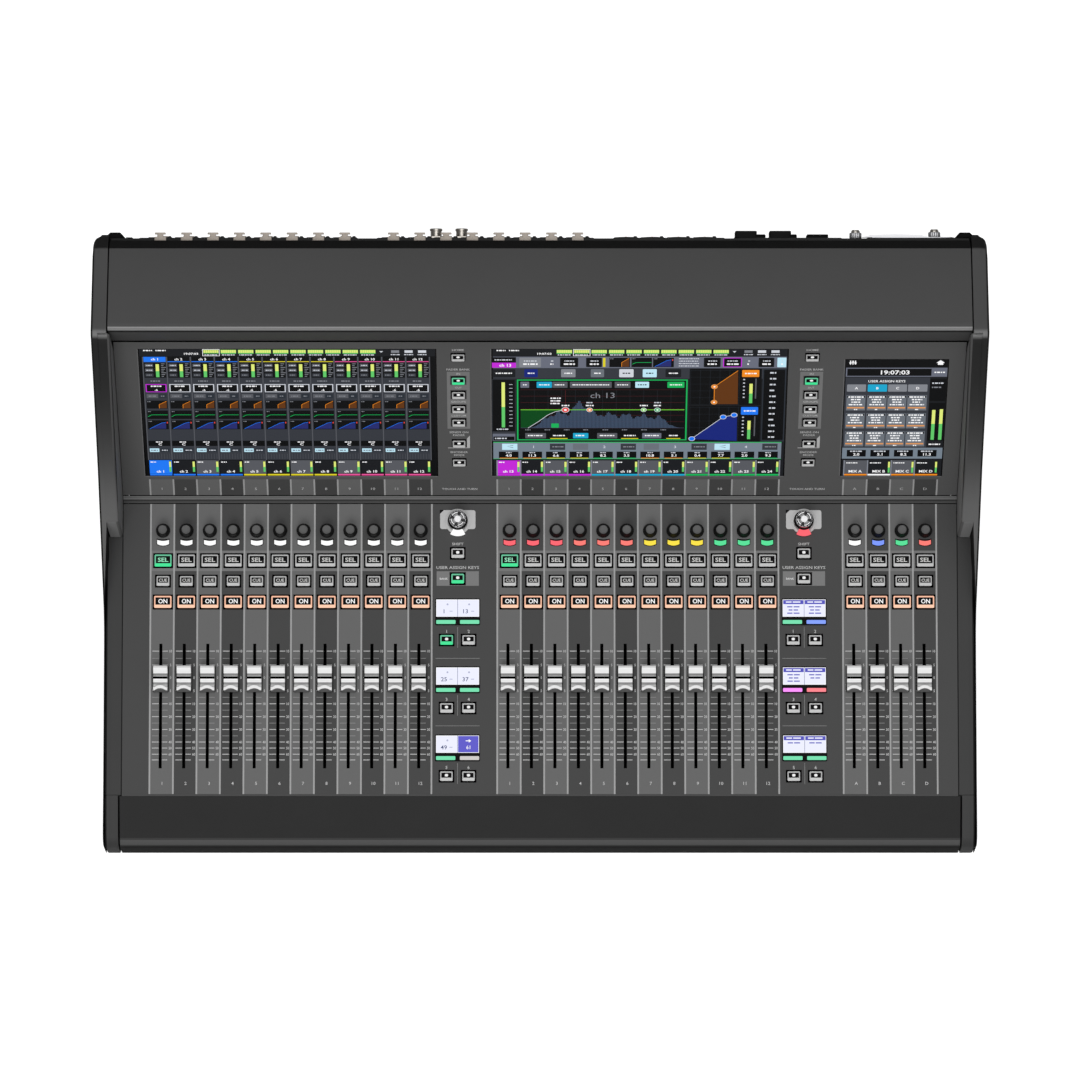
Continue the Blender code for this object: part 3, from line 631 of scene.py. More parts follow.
def grid_plate(shape, xs, ys, cell_finish, low, edge_finish):
    """A plate made of the cells between the lines xs and ys. A cell whose finish is None is open, and
    walls close the plate round every opening."""
    xs = sorted(set(round(x, 4) for x in xs))
    ys = sorted(set(round(y, 4) for y in ys))
    wide = len(xs)
    points = [(x, y, z) for z in (0.0, low) for y in ys for x in xs]
    under = wide * len(ys)
    kinds = {}
    for j in range(len(ys) - 1):
        for i in range(wide - 1):
            kinds[i, j] = cell_finish((xs[i] + xs[i + 1]) / 2, (ys[j] + ys[j + 1]) / 2)
    faces, names = [], []
    for (i, j), kind in kinds.items():
        if kind is None:
            continue
        a = j * wide + i
        corners = (a, a + 1, a + 1 + wide, a + wide)
        faces.append(corners)
        names.append(kind)
        faces.append(tuple(under + c for c in reversed(corners)))
        names.append(edge_finish)
        sides = (((i, j - 1), (0, 1)), ((i + 1, j), (1, 2)), ((i, j + 1), (2, 3)), ((i - 1, j), (3, 0)))
        for beside, (p, q) in sides:
            if kinds.get(beside) is None:
                faces.append((corners[q], corners[p], under + corners[p], under + corners[q]))
                names.append(edge_finish)
    shape.add(points, faces, names)


# ---------------------------------------------------------------- deck and panel plates

DIVIDER = 1.5
BAND_Y = (-56.8, -38.1)
BEAD_START = 4.6
PANEL_STRIPS_TOP = 21.0


def bank_span(bank):
    centres = STRIPS[bank]
    return centres[0] - PITCH / 2, centres[-1] + PITCH / 2


def strip_at(x):
    """The number of the channel strip under x, counted from 0, or None between the banks."""
    for bank in BANKS:
        x0, x1 = bank_span(bank)
        if x0 < x < x1:
            return int((x - x0) / PITCH)
    return None


def divider_lines():
    lines = []
    for bank in BANKS:
        x0, _ = bank_span(bank)
        lines += [x0 + PITCH * i for i in range(BANKS[bank] + 1)]
    return lines


DIVIDERS = divider_lines()


def on_divider(x):
    return any(abs(x - line) < DIVIDER / 2 for line in DIVIDERS)


def channel_key_places():
    """Every channel key as (x, key)."""
    return [(x + KEY_OFFSET, key) for bank in BANKS for x in STRIPS[bank] for key in CHANNEL_KEYS]


def utility_key_places(section):
    x = UTILITY_X[section]
    places = [(x, SHIFT_KEY_Y), (x, BANK_KEY_Y)]
    for y in PAIR_KEYS_Y:
        places += [(x - PAIR_KEY_X, y), (x + PAIR_KEY_X, y)]
    return places


def key_hole(x, y, size):
    half_x = size[0] / 2 + KEY_CLEARANCE
    half_y = size[1] / 2 + KEY_CLEARANCE
    return x - half_x, x + half_x, y - half_y, y + half_y


def inside(hole, x, y):
    return hole[0] < x < hole[1] and hole[2] < y < hole[3]


def deck_holes():
    holes = [key_hole(x, key["y"], key["size"]) for x, key in channel_key_places()]
    for bank in BANKS:
        for x in STRIPS[bank]:
            slot_x = x + SLOT_OFFSET
            holes.append((slot_x - SLOT_WIDTH / 2, slot_x + SLOT_WIDTH / 2, *SLOT_Y))
    for section in SECTIONS:
        holes += [key_hole(x, y, SMALL_KEY) for x, y in utility_key_places(section)]
    return holes


def make_deck_plate():
    """The fader deck with its openings. Its cells carry the paint of strips, bands and dividers."""
    holes = deck_holes()
    first, last = bank_span("left")[0], bank_span("right")[1]

    def finish_at(x, y):
        if any(inside(hole, x, y) for hole in holes):
            return None
        if on_divider(x):
            return "divider"
        strip = strip_at(x)
        if strip is None:
            return "deck_middle" if first < x < last else "deck_margin"
        if BAND_Y[0] < y < BAND_Y[1]:
            return "strip_band"
        return "strip_dark" if strip % 2 else "strip_light"

    xs = [-DECK_HALF, DECK_HALF] + [line + side * DIVIDER / 2 for line in DIVIDERS for side in (-1, 1)]
    ys = [-DECK_LENGTH, BEAD_START, *BAND_Y]
    for x0, x1, y0, y1 in holes:
        xs += [x0, x1]
        ys += [y0, y1]
    plate = Shape()
    grid_plate(plate, xs, ys, finish_at, -DECK_THICK, "seam")
    place_piece("fader_deck_plate", plate.mesh("fader_deck_plate"), DECK, "console",
                ("fader_deck",))


# The bead between the deck and the panel, from front to rear: (y, height) and the finish after it, with painted
# highlight and shade along the bead and a dark line of painted shade at its foot.
BEAD_SECTION = (
    (4.9, 0.0, "rim_dark"), (5.3, 0.7, "panel_paint"), (6.6, 4.0, "bead_painted_shade"), (8.1, 5.5, "bead_painted_highlight"),
    (9.6, 6.1, "panel_paint"), (10.3, 6.2, "bead_painted_highlight"), (11.2, 6.2, "seam"), (11.9, 5.4, "seam"),
    (11.9, 3.4, "seam"), (6.4, 2.4, "seam"), (5.2, -DECK_THICK, "seam"), (4.9, -DECK_THICK, "seam"),
)


def make_deck_upstand():
    """The turned-up rear edge of the deck, a bead between the deck and the panel, painted with highlight and shade."""
    bead = Shape()
    prism(bead, [(y, z) for y, z, _ in BEAD_SECTION[::-1]], -DECK_HALF, DECK_HALF, "seam")
    count = len(BEAD_SECTION)
    for i in range(count):
        bead.finishes[i] = BEAD_SECTION[count - 2 - i][2] if i < count - 1 else "seam"
    place_piece("deck_rear_bead", bead.mesh("deck_rear_bead"), DECK, "console")


def make_panel_plate():
    """The display panel: openings for the three screens and two key columns, strips at its foot."""
    holes = [(x0 - 0.3, x1 + 0.3, y0 - 0.3, y1 + 0.3) for x0, x1, y0, y1 in SCREENS.values()]
    for section in SECTIONS:
        holes += [key_hole(PANEL_KEYS_X[section], y, SMALL_KEY) for y in PANEL_KEYS_Y]

    def finish_at(x, y):
        if any(inside(hole, x, y) for hole in holes):
            return None
        if y < PANEL_STRIPS_TOP and on_divider(x):
            return "divider"
        strip = strip_at(x)
        if y > PANEL_STRIPS_TOP or strip is None:
            return "panel_paint"
        return "strip_dark" if strip % 2 else "strip_light"

    xs = [-DECK_HALF, DECK_HALF] + [line + side * DIVIDER / 2 for line in DIVIDERS for side in (-1, 1)]
    ys = [0.0, PANEL_LENGTH, PANEL_STRIPS_TOP]
    for x0, x1, y0, y1 in holes:
        xs += [x0, x1]
        ys += [y0, y1]
    plate = Shape()
    grid_plate(plate, xs, ys, finish_at, -PANEL_THICK, "seam")
    place_piece("display_panel_plate", plate.mesh("display_panel_plate"), PANEL, "console",
                ("display_panel",))


# ---------------------------------------------------------------- keys

WINDOW_SIDE = 1.2
WINDOW_REAR = 1.35
WINDOW_FRONT = 2.95
KEY_DOT = (2.9, 2.4)


def add_key(shape, x, y, size, body="key_body", lip="key_lip", word=None, letters_size=None,
            word_finish="key_word", dot="key_dot"):
    """A key top: black sides, rounded shoulders, a sunk dark window and a bright lip in front."""
    half_x, half_y = size[0] / 2, size[1] / 2
    foot = rounded(x - half_x, x + half_x, y - half_y, y + half_y, 1.0, 2)
    shoulder = rounded(x - half_x + 0.3, x + half_x - 0.3, y - half_y + 0.3, y + half_y - 0.3, 0.7, 2)
    x0, x1 = x - half_x + WINDOW_SIDE, x + half_x - WINDOW_SIDE
    y0, y1 = y - half_y + WINDOW_FRONT, y + half_y - WINDOW_REAR
    window = rounded(x0, x1, y0, y1, 0.3, 2)
    first = len(shape.faces)
    rings = [at_height(foot, KEY_BASE), at_height(foot, KEY_TOP - 0.4), at_height(shoulder, KEY_TOP)]
    rings += [at_height(window, KEY_TOP - 0.1), at_height(window, KEY_TOP - 0.4)]
    loft(shape, rings, body, top_finish="key_window")
    for i in range(first, len(shape.faces)):
        corners = [shape.points[p] for p in shape.faces[i]]
        middle_y = sum(p[1] for p in corners) / len(corners)
        middle_z = sum(p[2] for p in corners) / len(corners)
        if middle_z < KEY_TOP - 0.8:
            shape.finishes[i] = "seam"
        elif middle_y < y0 - 0.3 and middle_z > KEY_TOP - 0.3:
            shape.finishes[i] = lip
    sunk = KEY_TOP - 0.36
    if word:
        fit_word(shape, word, x, (y0 + y1) / 2, sunk, letters_size, word_finish, 0.018)
    elif dot:
        half_w, half_d = KEY_DOT[0] / 2, KEY_DOT[1] / 2
        middle = (y0 + y1) / 2
        flat(shape, rounded(x - half_w, x + half_w, middle - half_d, middle + half_d, 0.9), sunk, dot)


def make_bank_keys(bank):
    """The key tops of one bank and the silicone web that carries them."""
    keys = Shape()
    for number, strip in enumerate(STRIPS[bank]):
        x = strip + KEY_OFFSET
        chosen = number == 0 and bank != "right"
        sel = ("key_green", "key_green_lip", "key_green_word") if chosen else ("key_body", "key_lip", "key_word")
        on = ("key_peach", "key_peach_lip", "lit_white")
        for key, (body, lip, ink) in zip(CHANNEL_KEYS, (sel, ("key_body", "key_lip", "key_word"), on)):
            add_key(keys, x, key["y"], key["size"], body, lip, key["word"], key["letters"], ink)
    body = f"key_mat_{bank}"
    place_piece(f"key_tops_{bank}", keys.mesh(f"key_tops_{bank}"), DECK, body, (body,))
    web = Shape()
    x0, x1 = STRIPS[bank][0], STRIPS[bank][-1]
    block(web, x0 - 9.5, x1 + 9.5, -94.0, -39.0, -6.5, -5.3, "silicone", radius=2.0)
    place_piece(f"key_web_{bank}", web.mesh(f"key_web_{bank}"), DECK, body)


def make_utility_keys(section):
    keys = Shape()
    for i, (x, y) in enumerate(utility_key_places(section)):
        lit = section == "left" and i in (1, 2)
        body, lip = ("key_green", "key_green_lip") if lit else ("key_body", "key_lip")
        add_key(keys, x, y, SMALL_KEY, body, lip)
    body = f"user_key_mat_{section}"
    place_piece(f"user_key_tops_{section}", keys.mesh(f"user_key_tops_{section}"), DECK, body,
                (body,))
    web = Shape()
    x = UTILITY_X[section]
    block(web, x - 17.5, x + 17.5, -250.0, -33.0, -6.5, -5.3, "silicone", radius=2.0)
    place_piece(f"user_key_web_{section}", web.mesh(f"user_key_web_{section}"), DECK, body)


def make_panel_keys(section):
    keys = Shape()
    x = PANEL_KEYS_X[section]
    for i, y in enumerate(PANEL_KEYS_Y):
        lit = i == 1
        body, lip = ("key_green", "key_green_lip") if lit else ("key_body", "key_lip")
        add_key(keys, x, y, SMALL_KEY, body, lip)
    body = f"display_key_mat_{section}"
    place_piece(f"display_key_tops_{section}", keys.mesh(f"display_key_tops_{section}"), PANEL, body,
                (body,))
    web = Shape()
    block(web, x - 9.0, x + 9.0, 35.0, 190.0, -7.0, -5.8, "silicone", radius=2.0)
    place_piece(f"display_key_web_{section}", web.mesh(f"display_key_web_{section}"), PANEL, body)


# ---------------------------------------------------------------- knobs

ENCODER_HEIGHT = 12.2


def add_encoder(shape, x, y):
    """A black knob with a flange, fine grip flutes, a bevelled rim and a dished cap painted grey for the light that
    falls on its top.
    """
    skirt = [(6.2, 0.5), (6.4, 0.9), (6.4, 2.6), (6.1, 3.0)]
    turned(shape, x, y, skirt, 40, "knob_skirt")
    grip = [(6.0, 2.8), (6.05, 3.2), (4.9, 10.5), (4.3, 11.6)]
    turned(shape, x, y, grip, 72, "knob_skirt", flutes=18, depth=0.35)
    rim = [circle(x, y, radius, 40) for radius in (4.1, 3.9, 3.5, 3.2, 2.2)]
    heights = (11.2, ENCODER_HEIGHT - 0.2, ENCODER_HEIGHT, ENCODER_HEIGHT - 0.25, ENCODER_HEIGHT - 0.35)
    loft(shape, [at_height(ring, z) for ring, z in zip(rim, heights)], "knob_cap")
    turned(shape, x, y, [(3.0, -10.0), (3.0, 0.6)], 16, "screw")


def make_encoder_rows():
    for bank in ("left", "centre"):
        knobs = Shape()
        for x in STRIPS[bank]:
            add_encoder(knobs, x + ENCODER_OFFSET, ENCODER_Y)
        place_piece(f"encoder_knobs_{bank}", knobs.mesh(f"encoder_knobs_{bank}"), DECK, "console",
                    (f"encoder_row_{bank}",))
        board = Shape()
        x0, x1 = STRIPS[bank][0], STRIPS[bank][-1]
        block(board, x0 - 8.0, x1 + 8.0, -29.0, -11.0, -11.6, -10.0, "circuit_board", edge=0.1)
        place_piece(f"encoder_board_{bank}", board.mesh(f"encoder_board_{bank}"), DECK, "console")


def make_turning_encoders():
    """The right bank's knobs, which turn on their own, each set on its joint's axis."""
    knob = Shape()
    add_encoder(knob, 0.0, 0.0)
    mesh = knob.mesh("encoder_knob")
    for number, x in enumerate(STRIPS["right"], start=1):
        name = f"encoder_right_{number:02d}"
        place = DECK @ Matrix.Translation(Vector((x + ENCODER_OFFSET, ENCODER_Y, 0.0)) * MM)
        place_piece(f"{name}_knob", mesh, place, name, (name,))


# The drum's top from its knurled shoulder to its dished middle: (radius, height) and the finish after it, rings of
# painted highlight, halftone and shade that stand in for reflections on the metal.
DRUM_TOP = (
    (7.3, 12.4, "silver_bright"), (6.7, 13.4, "silver_painted_shade"), (6.2, 13.9, "silver_bright"),
    (5.4, 13.9, "silver_painted_shade"), (4.8, 13.3, "silver_mid"), (3.0, 13.0, "silver_bright"),
    (1.5, 12.9, "silver_mid"),
)
DRUM_SIDES = 60


def make_touch_knobs():
    """The large touch-and-turn knobs: a knurled silver drum, ring by ring, with a dished cap, painted with highlights
    and reflections and with shade in the knurl grooves.
    """
    knob = Shape()
    grip = [(7.5, 3.4), (7.6, 3.8), (7.4, 12.4)]
    turned(knob, 0, 0, grip, 120, "silver", flutes=30, depth=0.45)
    rings = [at_height(circle(0, 0, radius, DRUM_SIDES), z) for radius, z, _ in DRUM_TOP]
    first = len(knob.faces)
    loft(knob, rings, "silver_mid", top_finish="silver_bright")
    for level in range(len(DRUM_TOP) - 1):
        for i in range(DRUM_SIDES):
            # Knurl grooves painted dark as shade, and stretches of two rings painted dark as reflections.
            knurl = level < 2 and i % 4 < 2
            shaded = DRUM_TOP[level][2]
            if level in (2, 4) and i % 15 > 9:
                shaded = "silver_painted_shade"
            knob.finishes[first + level * DRUM_SIDES + i] = "silver_painted_shade" if knurl else shaded
    turned(knob, 0, 0, [(3.0, -10.0), (3.0, 3.6)], 16, "screw")
    mesh = knob.mesh("touch_knob")
    for section in SECTIONS:
        name = f"touch_knob_{section}"
        x = UTILITY_X[section]
        place = DECK @ Matrix.Translation(Vector((x, TOUCH_KNOB_Y, 0.0)) * MM)
        place_piece(f"{name}_cap", mesh, place, name, (name,))


# ---------------------------------------------------------------- faders

CAP_HALF_WIDTH = 6.5
BASE_AND_SHADOW_HALF_WIDTH = 7.3
ARCH_DEPTH = 2.0
ARCH_HALF_WIDTH = 5.2
# Section of a cap from the rear foot over the top to the front foot, with the finish of the stretch that starts at
# each point: painted highlight, light, halftone and shade tones that stand in for how the light falls on the cap's
# slopes. The last value is how far that point follows the finger arch in front.
CAP_SECTION = (
    (11.90, 1.5, "cap_painted_light", 0.0),
    (11.55, 9.4, "cap_painted_light", 0.0),
    (11.10, 10.2, "cap_painted_light", 0.0),
    (9.47, 10.3, "cap_painted_highlight", 0.0),
    (8.90, 10.1, "cap_painted_highlight", 0.0),
    (4.57, 7.4, "cap_painted_halftone", 0.0),
    (3.20, 7.5, "cap_painted_shade", 0.0),
    (2.40, 8.2, "cap_painted_light", 0.0),
    (1.75, 8.4, "seam", 0.0),
    (-0.45, 8.4, "cap_painted_highlight", 0.0),
    (-0.80, 8.2, "cap_painted_highlight", 0.0),
    (-3.50, 6.4, "cap_painted_halftone", 0.0),
    (-5.60, 6.3, "cap_painted_light", 0.0),
    (-7.70, 7.8, "cap_painted_light", 0.5),
    (-8.30, 8.7, "cap_painted_highlight", 1.0),
    (-10.70, 9.2, "cap_painted_highlight", 1.0),
    (-11.10, 8.7, "cap_painted_shade", 1.0),
    (-11.60, 4.6, "cap_painted_shade", 0.4),
    (-11.90, 1.5, "cap_painted_shade", 0.0),
)


def cap_mesh():
    """A fader cap lofted across its width, with softened side edges and slopes painted in highlight and shade tones,
    on its stem and carriage.
    """
    cap = Shape()
    shares = (-1.0, -0.93, -0.76, -0.55, -0.3, 0.0, 0.3, 0.55, 0.76, 0.93, 1.0)
    sections = []
    for share in shares:
        x = share * CAP_HALF_WIDTH
        arch = ARCH_DEPTH * max(0.0, 1 - (x / ARCH_HALF_WIDTH) ** 2)
        drop = 0.45 if abs(share) == 1.0 else 0.0
        sections.append([(x, y + arch * follow, z - (drop if z > 2 else 0.0)) for y, z, _, follow in CAP_SECTION])
    count = len(CAP_SECTION)
    points = [p for section in sections for p in section]
    faces, names = [], []
    for i in range(len(sections) - 1):
        for j in range(count):
            after = (j + 1) % count
            faces.append((i * count + j, i * count + after, (i + 1) * count + after, (i + 1) * count + j))
            names.append(CAP_SECTION[j][2])
    faces.append(tuple(reversed(range(count))))
    faces.append(tuple((len(sections) - 1) * count + j for j in range(count)))
    cap.add(points, [tuple(reversed(face)) for face in faces], names + ["cap_painted_light"] * 2)
    # A black base a little wider than the cap, whose dark rim round the cap stands in part for the cap's shadow on the
    # deck.
    base_and_shadow = BASE_AND_SHADOW_HALF_WIDTH
    block(cap, -base_and_shadow, base_and_shadow, -12.0, 12.0, 0.9, 1.6, "black_plastic", radius=1.2, edge=0.2)
    block(cap, -0.7, 0.7, -2.5, 2.5, -9.0, 3.0, "screw", radius=0.3, edge=0.1)
    block(cap, -6.0, 6.0, -7.5, 7.5, -14.0, -8.0, "black_plastic", radius=1.0, edge=0.4)
    return cap.mesh("fader_cap", sharp_deg=24)


def make_faders():
    mesh = cap_mesh()
    for bank in BANKS:
        for number, x in enumerate(STRIPS[bank], start=1):
            name = f"fader_{bank}_{number:02d}"
            place = DECK @ Matrix.Translation(Vector((x + SLOT_OFFSET, FADER_Y, 0.0)) * MM)
            place_piece(f"{name}_cap", mesh, place, name, (name,))


def make_fader_rails():
    """A black channel under every slot: two walls and a floor that the carriage runs between."""
    rails = Shape()
    for bank in BANKS:
        for x in STRIPS[bank]:
            centre = x + SLOT_OFFSET
            for x0, x1 in ((centre - 8.2, centre - 7.4), (centre + 7.4, centre + 8.2)):
                block(rails, x0, x1, -250.0, -112.0, -17.0, -3.0, "black_plastic", radius=0.2, edge=0.1)
            block(rails, centre - 7.4, centre + 7.4, -250.0, -112.0, -17.8, -17.0, "black_plastic",
                  radius=0.2, edge=0.1)
    place_piece("fader_rails", rails.mesh("fader_rails"), DECK, "console")


# ---------------------------------------------------------------- deck fittings

PRINT = 0.04
BANK_LIGHTS = {
    "left": ["lit_white"] * 12,
    "centre": ["lit_red"] * 3 + ["lit_salmon"] * 3 + ["lit_yellow"] * 3 + ["lit_green"] * 3,
    "right": ["lit_white", "lit_blue", "lit_green", "lit_salmon"],
}
SCALE_MARKS = (
    (-129.9, 1.0, "10"), (-136.5, 0.6, ""), (-142.5, 1.0, "5"), (-154.0, 1.0, "0"),
    (-160.2, 0.6, ""), (-166.0, 1.0, "5"), (-172.0, 0.6, ""), (-177.9, 1.0, "10"),
    (-183.7, 0.6, ""), (-189.6, 1.0, "20"), (-195.5, 0.6, ""), (-201.3, 1.0, "30"),
    (-207.1, 0.6, ""), (-212.7, 1.0, "40"), (-218.2, 1.0, "50"), (-223.8, 1.0, "60"),
    (-229.0, 1.0, ""),
)


def bank_names(bank):
    return ["A", "B", "C", "D"] if bank == "right" else [str(i + 1) for i in range(BANKS[bank])]


LIGHT_LENS = (5.35, -28.3, -29.3, -32.1, -33.5)
# The lens's black surround reaches further towards the knob, where it paints the knob's shadow.
LENS_SURROUND_AND_SHADOW = (5.9, -27.0, -27.9, -32.7, -34.1)


def curved_bar(x, half, side_top, middle_top, side_low, middle_low, steps=10):
    """A bar with upright sides whose long edges sag towards the middle."""
    outline = []
    for side, middle, turn in ((side_top, middle_top, 1), (side_low, middle_low, -1)):
        for i in range(steps + 1):
            t = turn * (2 * i / steps - 1)
            outline.append((x + half * t, side + (middle - side) * (1 - t * t)))
    return outline


def make_bank_lights():
    """The light arc in front of every knob, a curved lens in a black surround that reaches further towards the knob as
    the knob's painted shadow.
    """
    for bank in BANKS:
        lights = Shape()
        for strip, lit in zip(STRIPS[bank], BANK_LIGHTS[bank]):
            x = strip + ENCODER_OFFSET
            raised(lights, curved_bar(x, *LENS_SURROUND_AND_SHADOW), 0.0, 0.15, "black_plastic")
            raised(lights, curved_bar(x, *LIGHT_LENS), 0.1, 0.4, lit)
        place_piece(f"encoder_lights_{bank}", lights.mesh(f"encoder_lights_{bank}"), DECK, "console")


GAP_SHADE_WIDTH = 0.55


def add_painted_gap_shade(shape, hole):
    """A black frame of painted shade round a key's opening."""
    x0, x1, y0, y1 = hole
    outer = (x0 - GAP_SHADE_WIDTH, x1 + GAP_SHADE_WIDTH, y0 - GAP_SHADE_WIDTH, y1 + GAP_SHADE_WIDTH)
    flat(shape, rectangle(outer[0], outer[1], outer[2], y0), PRINT, "slot_black")
    flat(shape, rectangle(outer[0], outer[1], y1, outer[3]), PRINT, "slot_black")
    flat(shape, rectangle(outer[0], x0, y0, y1), PRINT, "slot_black")
    flat(shape, rectangle(x1, outer[1], y0, y1), PRINT, "slot_black")


def make_deck_print():
    """Channel numbers, fader scales and the few generic words on the deck."""
    print_shape = Shape()
    # Black painted shade round the key openings.
    for hole in deck_holes():
        if hole[1] - hole[0] > 2 * SLOT_WIDTH:
            add_painted_gap_shade(print_shape, hole)
    for bank in BANKS:
        for x, name in zip(STRIPS[bank], bank_names(bank)):
            write(print_shape, name, x + 0.8, -250.2, PRINT, 2.9, "print_grey", 1.1, weight=0.008)
            slot = x + SLOT_OFFSET
            for y, weight, number in SCALE_MARKS:
                finish = "print_grey" if weight == 1.0 else "print_dim"
                thick = 0.32 * weight
                for x0, x1 in ((x - 8.6, slot - 1.6), (slot + 1.6, slot + 6.4)):
                    flat(print_shape, rectangle(x0, x1, y - thick, y + thick), PRINT, finish)
                if number:
                    write(print_shape, number, x + 8.0, y, PRINT, 2.4, "print_grey", 0.85, weight=0.014)
    for section in SECTIONS:
        x = UTILITY_X[section]
        fit_word(print_shape, "SHIFT", x, -32.0, PRINT, (2.4, 10.4), "print_grey", 0.008)
        fit_word(print_shape, "USER ASSIGN KEYS", x, -53.5, PRINT, (2.7, 38.8), "print_grey", 0.008)
        write(print_shape, "BANK", x - 12.7, BANK_KEY_Y, PRINT + 0.25, 1.9, "print_white", 1.05)
        for i, y in enumerate(PAIR_KEYS_Y):
            for side in (0, 1):
                key_x = x + (PAIR_KEY_X if side else -PAIR_KEY_X)
                write(print_shape, str(2 * i + side + 1), key_x, y + 8.0, PRINT, 2.9, "print_grey", 1.1, weight=0.008)
            flat(print_shape, rectangle(x - 0.15, x + 0.15, y - 7.0, y + 12.0), PRINT, "print_dim")
        for y in (-136.5, -198.0):
            flat(print_shape, rectangle(x - 20.0, x + 20.0, y - 0.15, y + 0.15), PRINT, "print_dim")
    place_piece("deck_print", print_shape.mesh("deck_print"), DECK, "console")


def make_knob_plates():
    """Under each touch knob, a pale plate with a round collar, and round the bank key a soft plate."""
    for section in SECTIONS:
        x = UTILITY_X[section]
        plates = Shape()
        raised(plates, rounded(x - 16.1, x + 16.1, -18.4, -1.1, 2.0), 0.0, 0.3, "plate_grey")
        raised(plates, [(x - 16.3, -1.0), (x - 16.3, -4.6), (x - 12.6, -1.0)], 0.0, 0.36, "black_plastic")
        centre = TOUCH_KNOB_Y - 1.0
        turned(plates, x, centre, [(11.7, 0.0), (11.7, 0.5), (11.3, 0.7), (9.4, 0.7), (9.0, 0.3)], 48, "plate_grey")
        turned(plates, x, TOUCH_KNOB_Y, [(8.9, 0.2), (8.9, 2.6), (8.5, 3.1), (7.9, 3.2)], 48, "black_plastic")
        raised(plates, sector(x, centre, 8.1, 13.4, 240, 300), 0.3, 3.5, "lit_white" if section == "left" else "lit_red")
        low = BANK_KEY_Y
        for x0, x1, y0, y1 in ((x - 19.2, x - 7.5, low - 6.5, low + 6.8), (x + 7.5, x + 19.2, low - 6.5, low + 6.8),
                               (x - 7.5, x + 7.5, low + 6.1, low + 6.8), (x - 7.5, x + 7.5, low - 6.5, low - 6.1)):
            flat(plates, rectangle(x0, x1, y0, y1), 0.2, "plate_soft")
        place_piece(f"knob_plate_{section}", plates.mesh(f"knob_plate_{section}"), DECK, "console")


LCD_HALF = (20.4, 8.75)
BAR_BLOCK_FRONT = 15.6


def add_lcd(shape, x, y):
    """The black frame of a twin window with its light bars' block, and the lit field."""
    half_x, half_y = LCD_HALF
    block(shape, x - half_x, x + half_x, y - BAR_BLOCK_FRONT, y + half_y, 0.0, 0.5, "black_plastic", 1.0, 0.25)
    flat(shape, rectangle(x - half_x + 0.9, x + half_x - 0.9, y - half_y + 0.9, y + half_y - 0.9), 0.52,
         "lcd_edge")
    flat(shape, rectangle(x - half_x + 1.4, x + half_x - 1.4, y - half_y + 1.4, y + half_y - 1.4), 0.54,
         "lcd_white")
    flat(shape, rectangle(x - 0.2, x + 0.2, y - half_y + 0.9, y + half_y - 0.9), 0.56, "lcd_divide")


def add_number_cell(shape, x, y, number, reverse=False):
    """A window half that names a fader bank: a small mark over a number and a faint dash."""
    ink = "lit_white" if reverse else "lcd_ink"
    if reverse:
        flat(shape, rectangle(x - 9.2, x + 9.2, y - 7.4, y + 7.4), 0.68, "lcd_blue")
        flat(shape, [(x - 2.4, y + 3.4), (x + 0.4, y + 3.4), (x + 0.4, y + 4.6), (x + 2.6, y + 3.0),
                     (x + 0.4, y + 1.4), (x + 0.4, y + 2.6), (x - 2.4, y + 2.6)], 0.7, ink)
        write(shape, number, x, y - 2.8, 0.7, 3.4, ink, 1.0, weight=0.008)
        return
    flat(shape, circle(x + 0.6, y + 3.4, 0.9, 10), 0.7, "lcd_faint")
    write(shape, number, x - 2.6, y - 2.8, 0.7, 3.9, ink, 1.1, weight=0.008)
    flat(shape, rectangle(x + 2.4, x + 5.2, y - 3.2, y - 2.5), 0.7, "lcd_faint")


def add_memo_cell(shape, x, y, lines):
    """A window half with a violet heading bar and a few short lines of marks."""
    flat(shape, rectangle(x - 9.2, x + 9.2, y + 3.6, y + 7.3), 0.68, "lcd_header")
    for start, end in ((-6.8, -1.6), (-0.6, 6.4)):
        flat(shape, rectangle(x + start, x + end, y + 4.9, y + 6.1), 0.7, "lcd_white")
    for row in range(lines):
        level = y + 1.2 - 2.9 * row
        reach = 5.6 - 1.3 * (row % 2)
        flat(shape, rectangle(x - reach, x - 0.8, level - 0.55, level + 0.45), 0.7, "lcd_header")
        flat(shape, rectangle(x + 0.2, x + reach, level - 0.55, level + 0.45), 0.7, "lcd_header")


LCD_NUMBERS = (("1", "13"), ("25", "37"), ("49", "61"))
LCD_MEMOS = ((3, 3), (3, 2), (1, 1))
LED_BARS = {
    "left": (("bar_mint", "bar_mint"), ("bar_mint", "bar_mint"), ("bar_mint", "bar_grey")),
    "centre": (("bar_mint", "bar_blue"), ("bar_magenta", "bar_salmon"), ("bar_mint", "bar_mint")),
}


def make_lcds():
    for section in SECTIONS:
        x = UTILITY_X[section]
        windows = Shape()
        for row, y in enumerate(LCD_Y):
            add_lcd(windows, x, y)
            for side, shift in ((0, -9.8), (1, 9.8)):
                if section == "left":
                    add_number_cell(windows, x + shift, y, LCD_NUMBERS[row][side], row == 2 and side == 1)
                else:
                    add_memo_cell(windows, x + shift, y, LCD_MEMOS[row][side])
        place_piece(f"lcd_windows_{section}", windows.mesh(f"lcd_windows_{section}"), DECK, "console")
        bars = Shape()
        for row, y in enumerate(LED_BAR_Y):
            for (x0, x1), lit in zip(((-20.2, -1.2), (1.4, 20.4)), LED_BARS[section][row]):
                block(bars, x + x0 + 0.75, x + x1 - 0.75, y - 1.75, y + 1.75, 0.3, 0.8, lit, 0.7, 0.15)
        place_piece(f"led_bars_{section}", bars.mesh(f"led_bars_{section}"), DECK, "console")


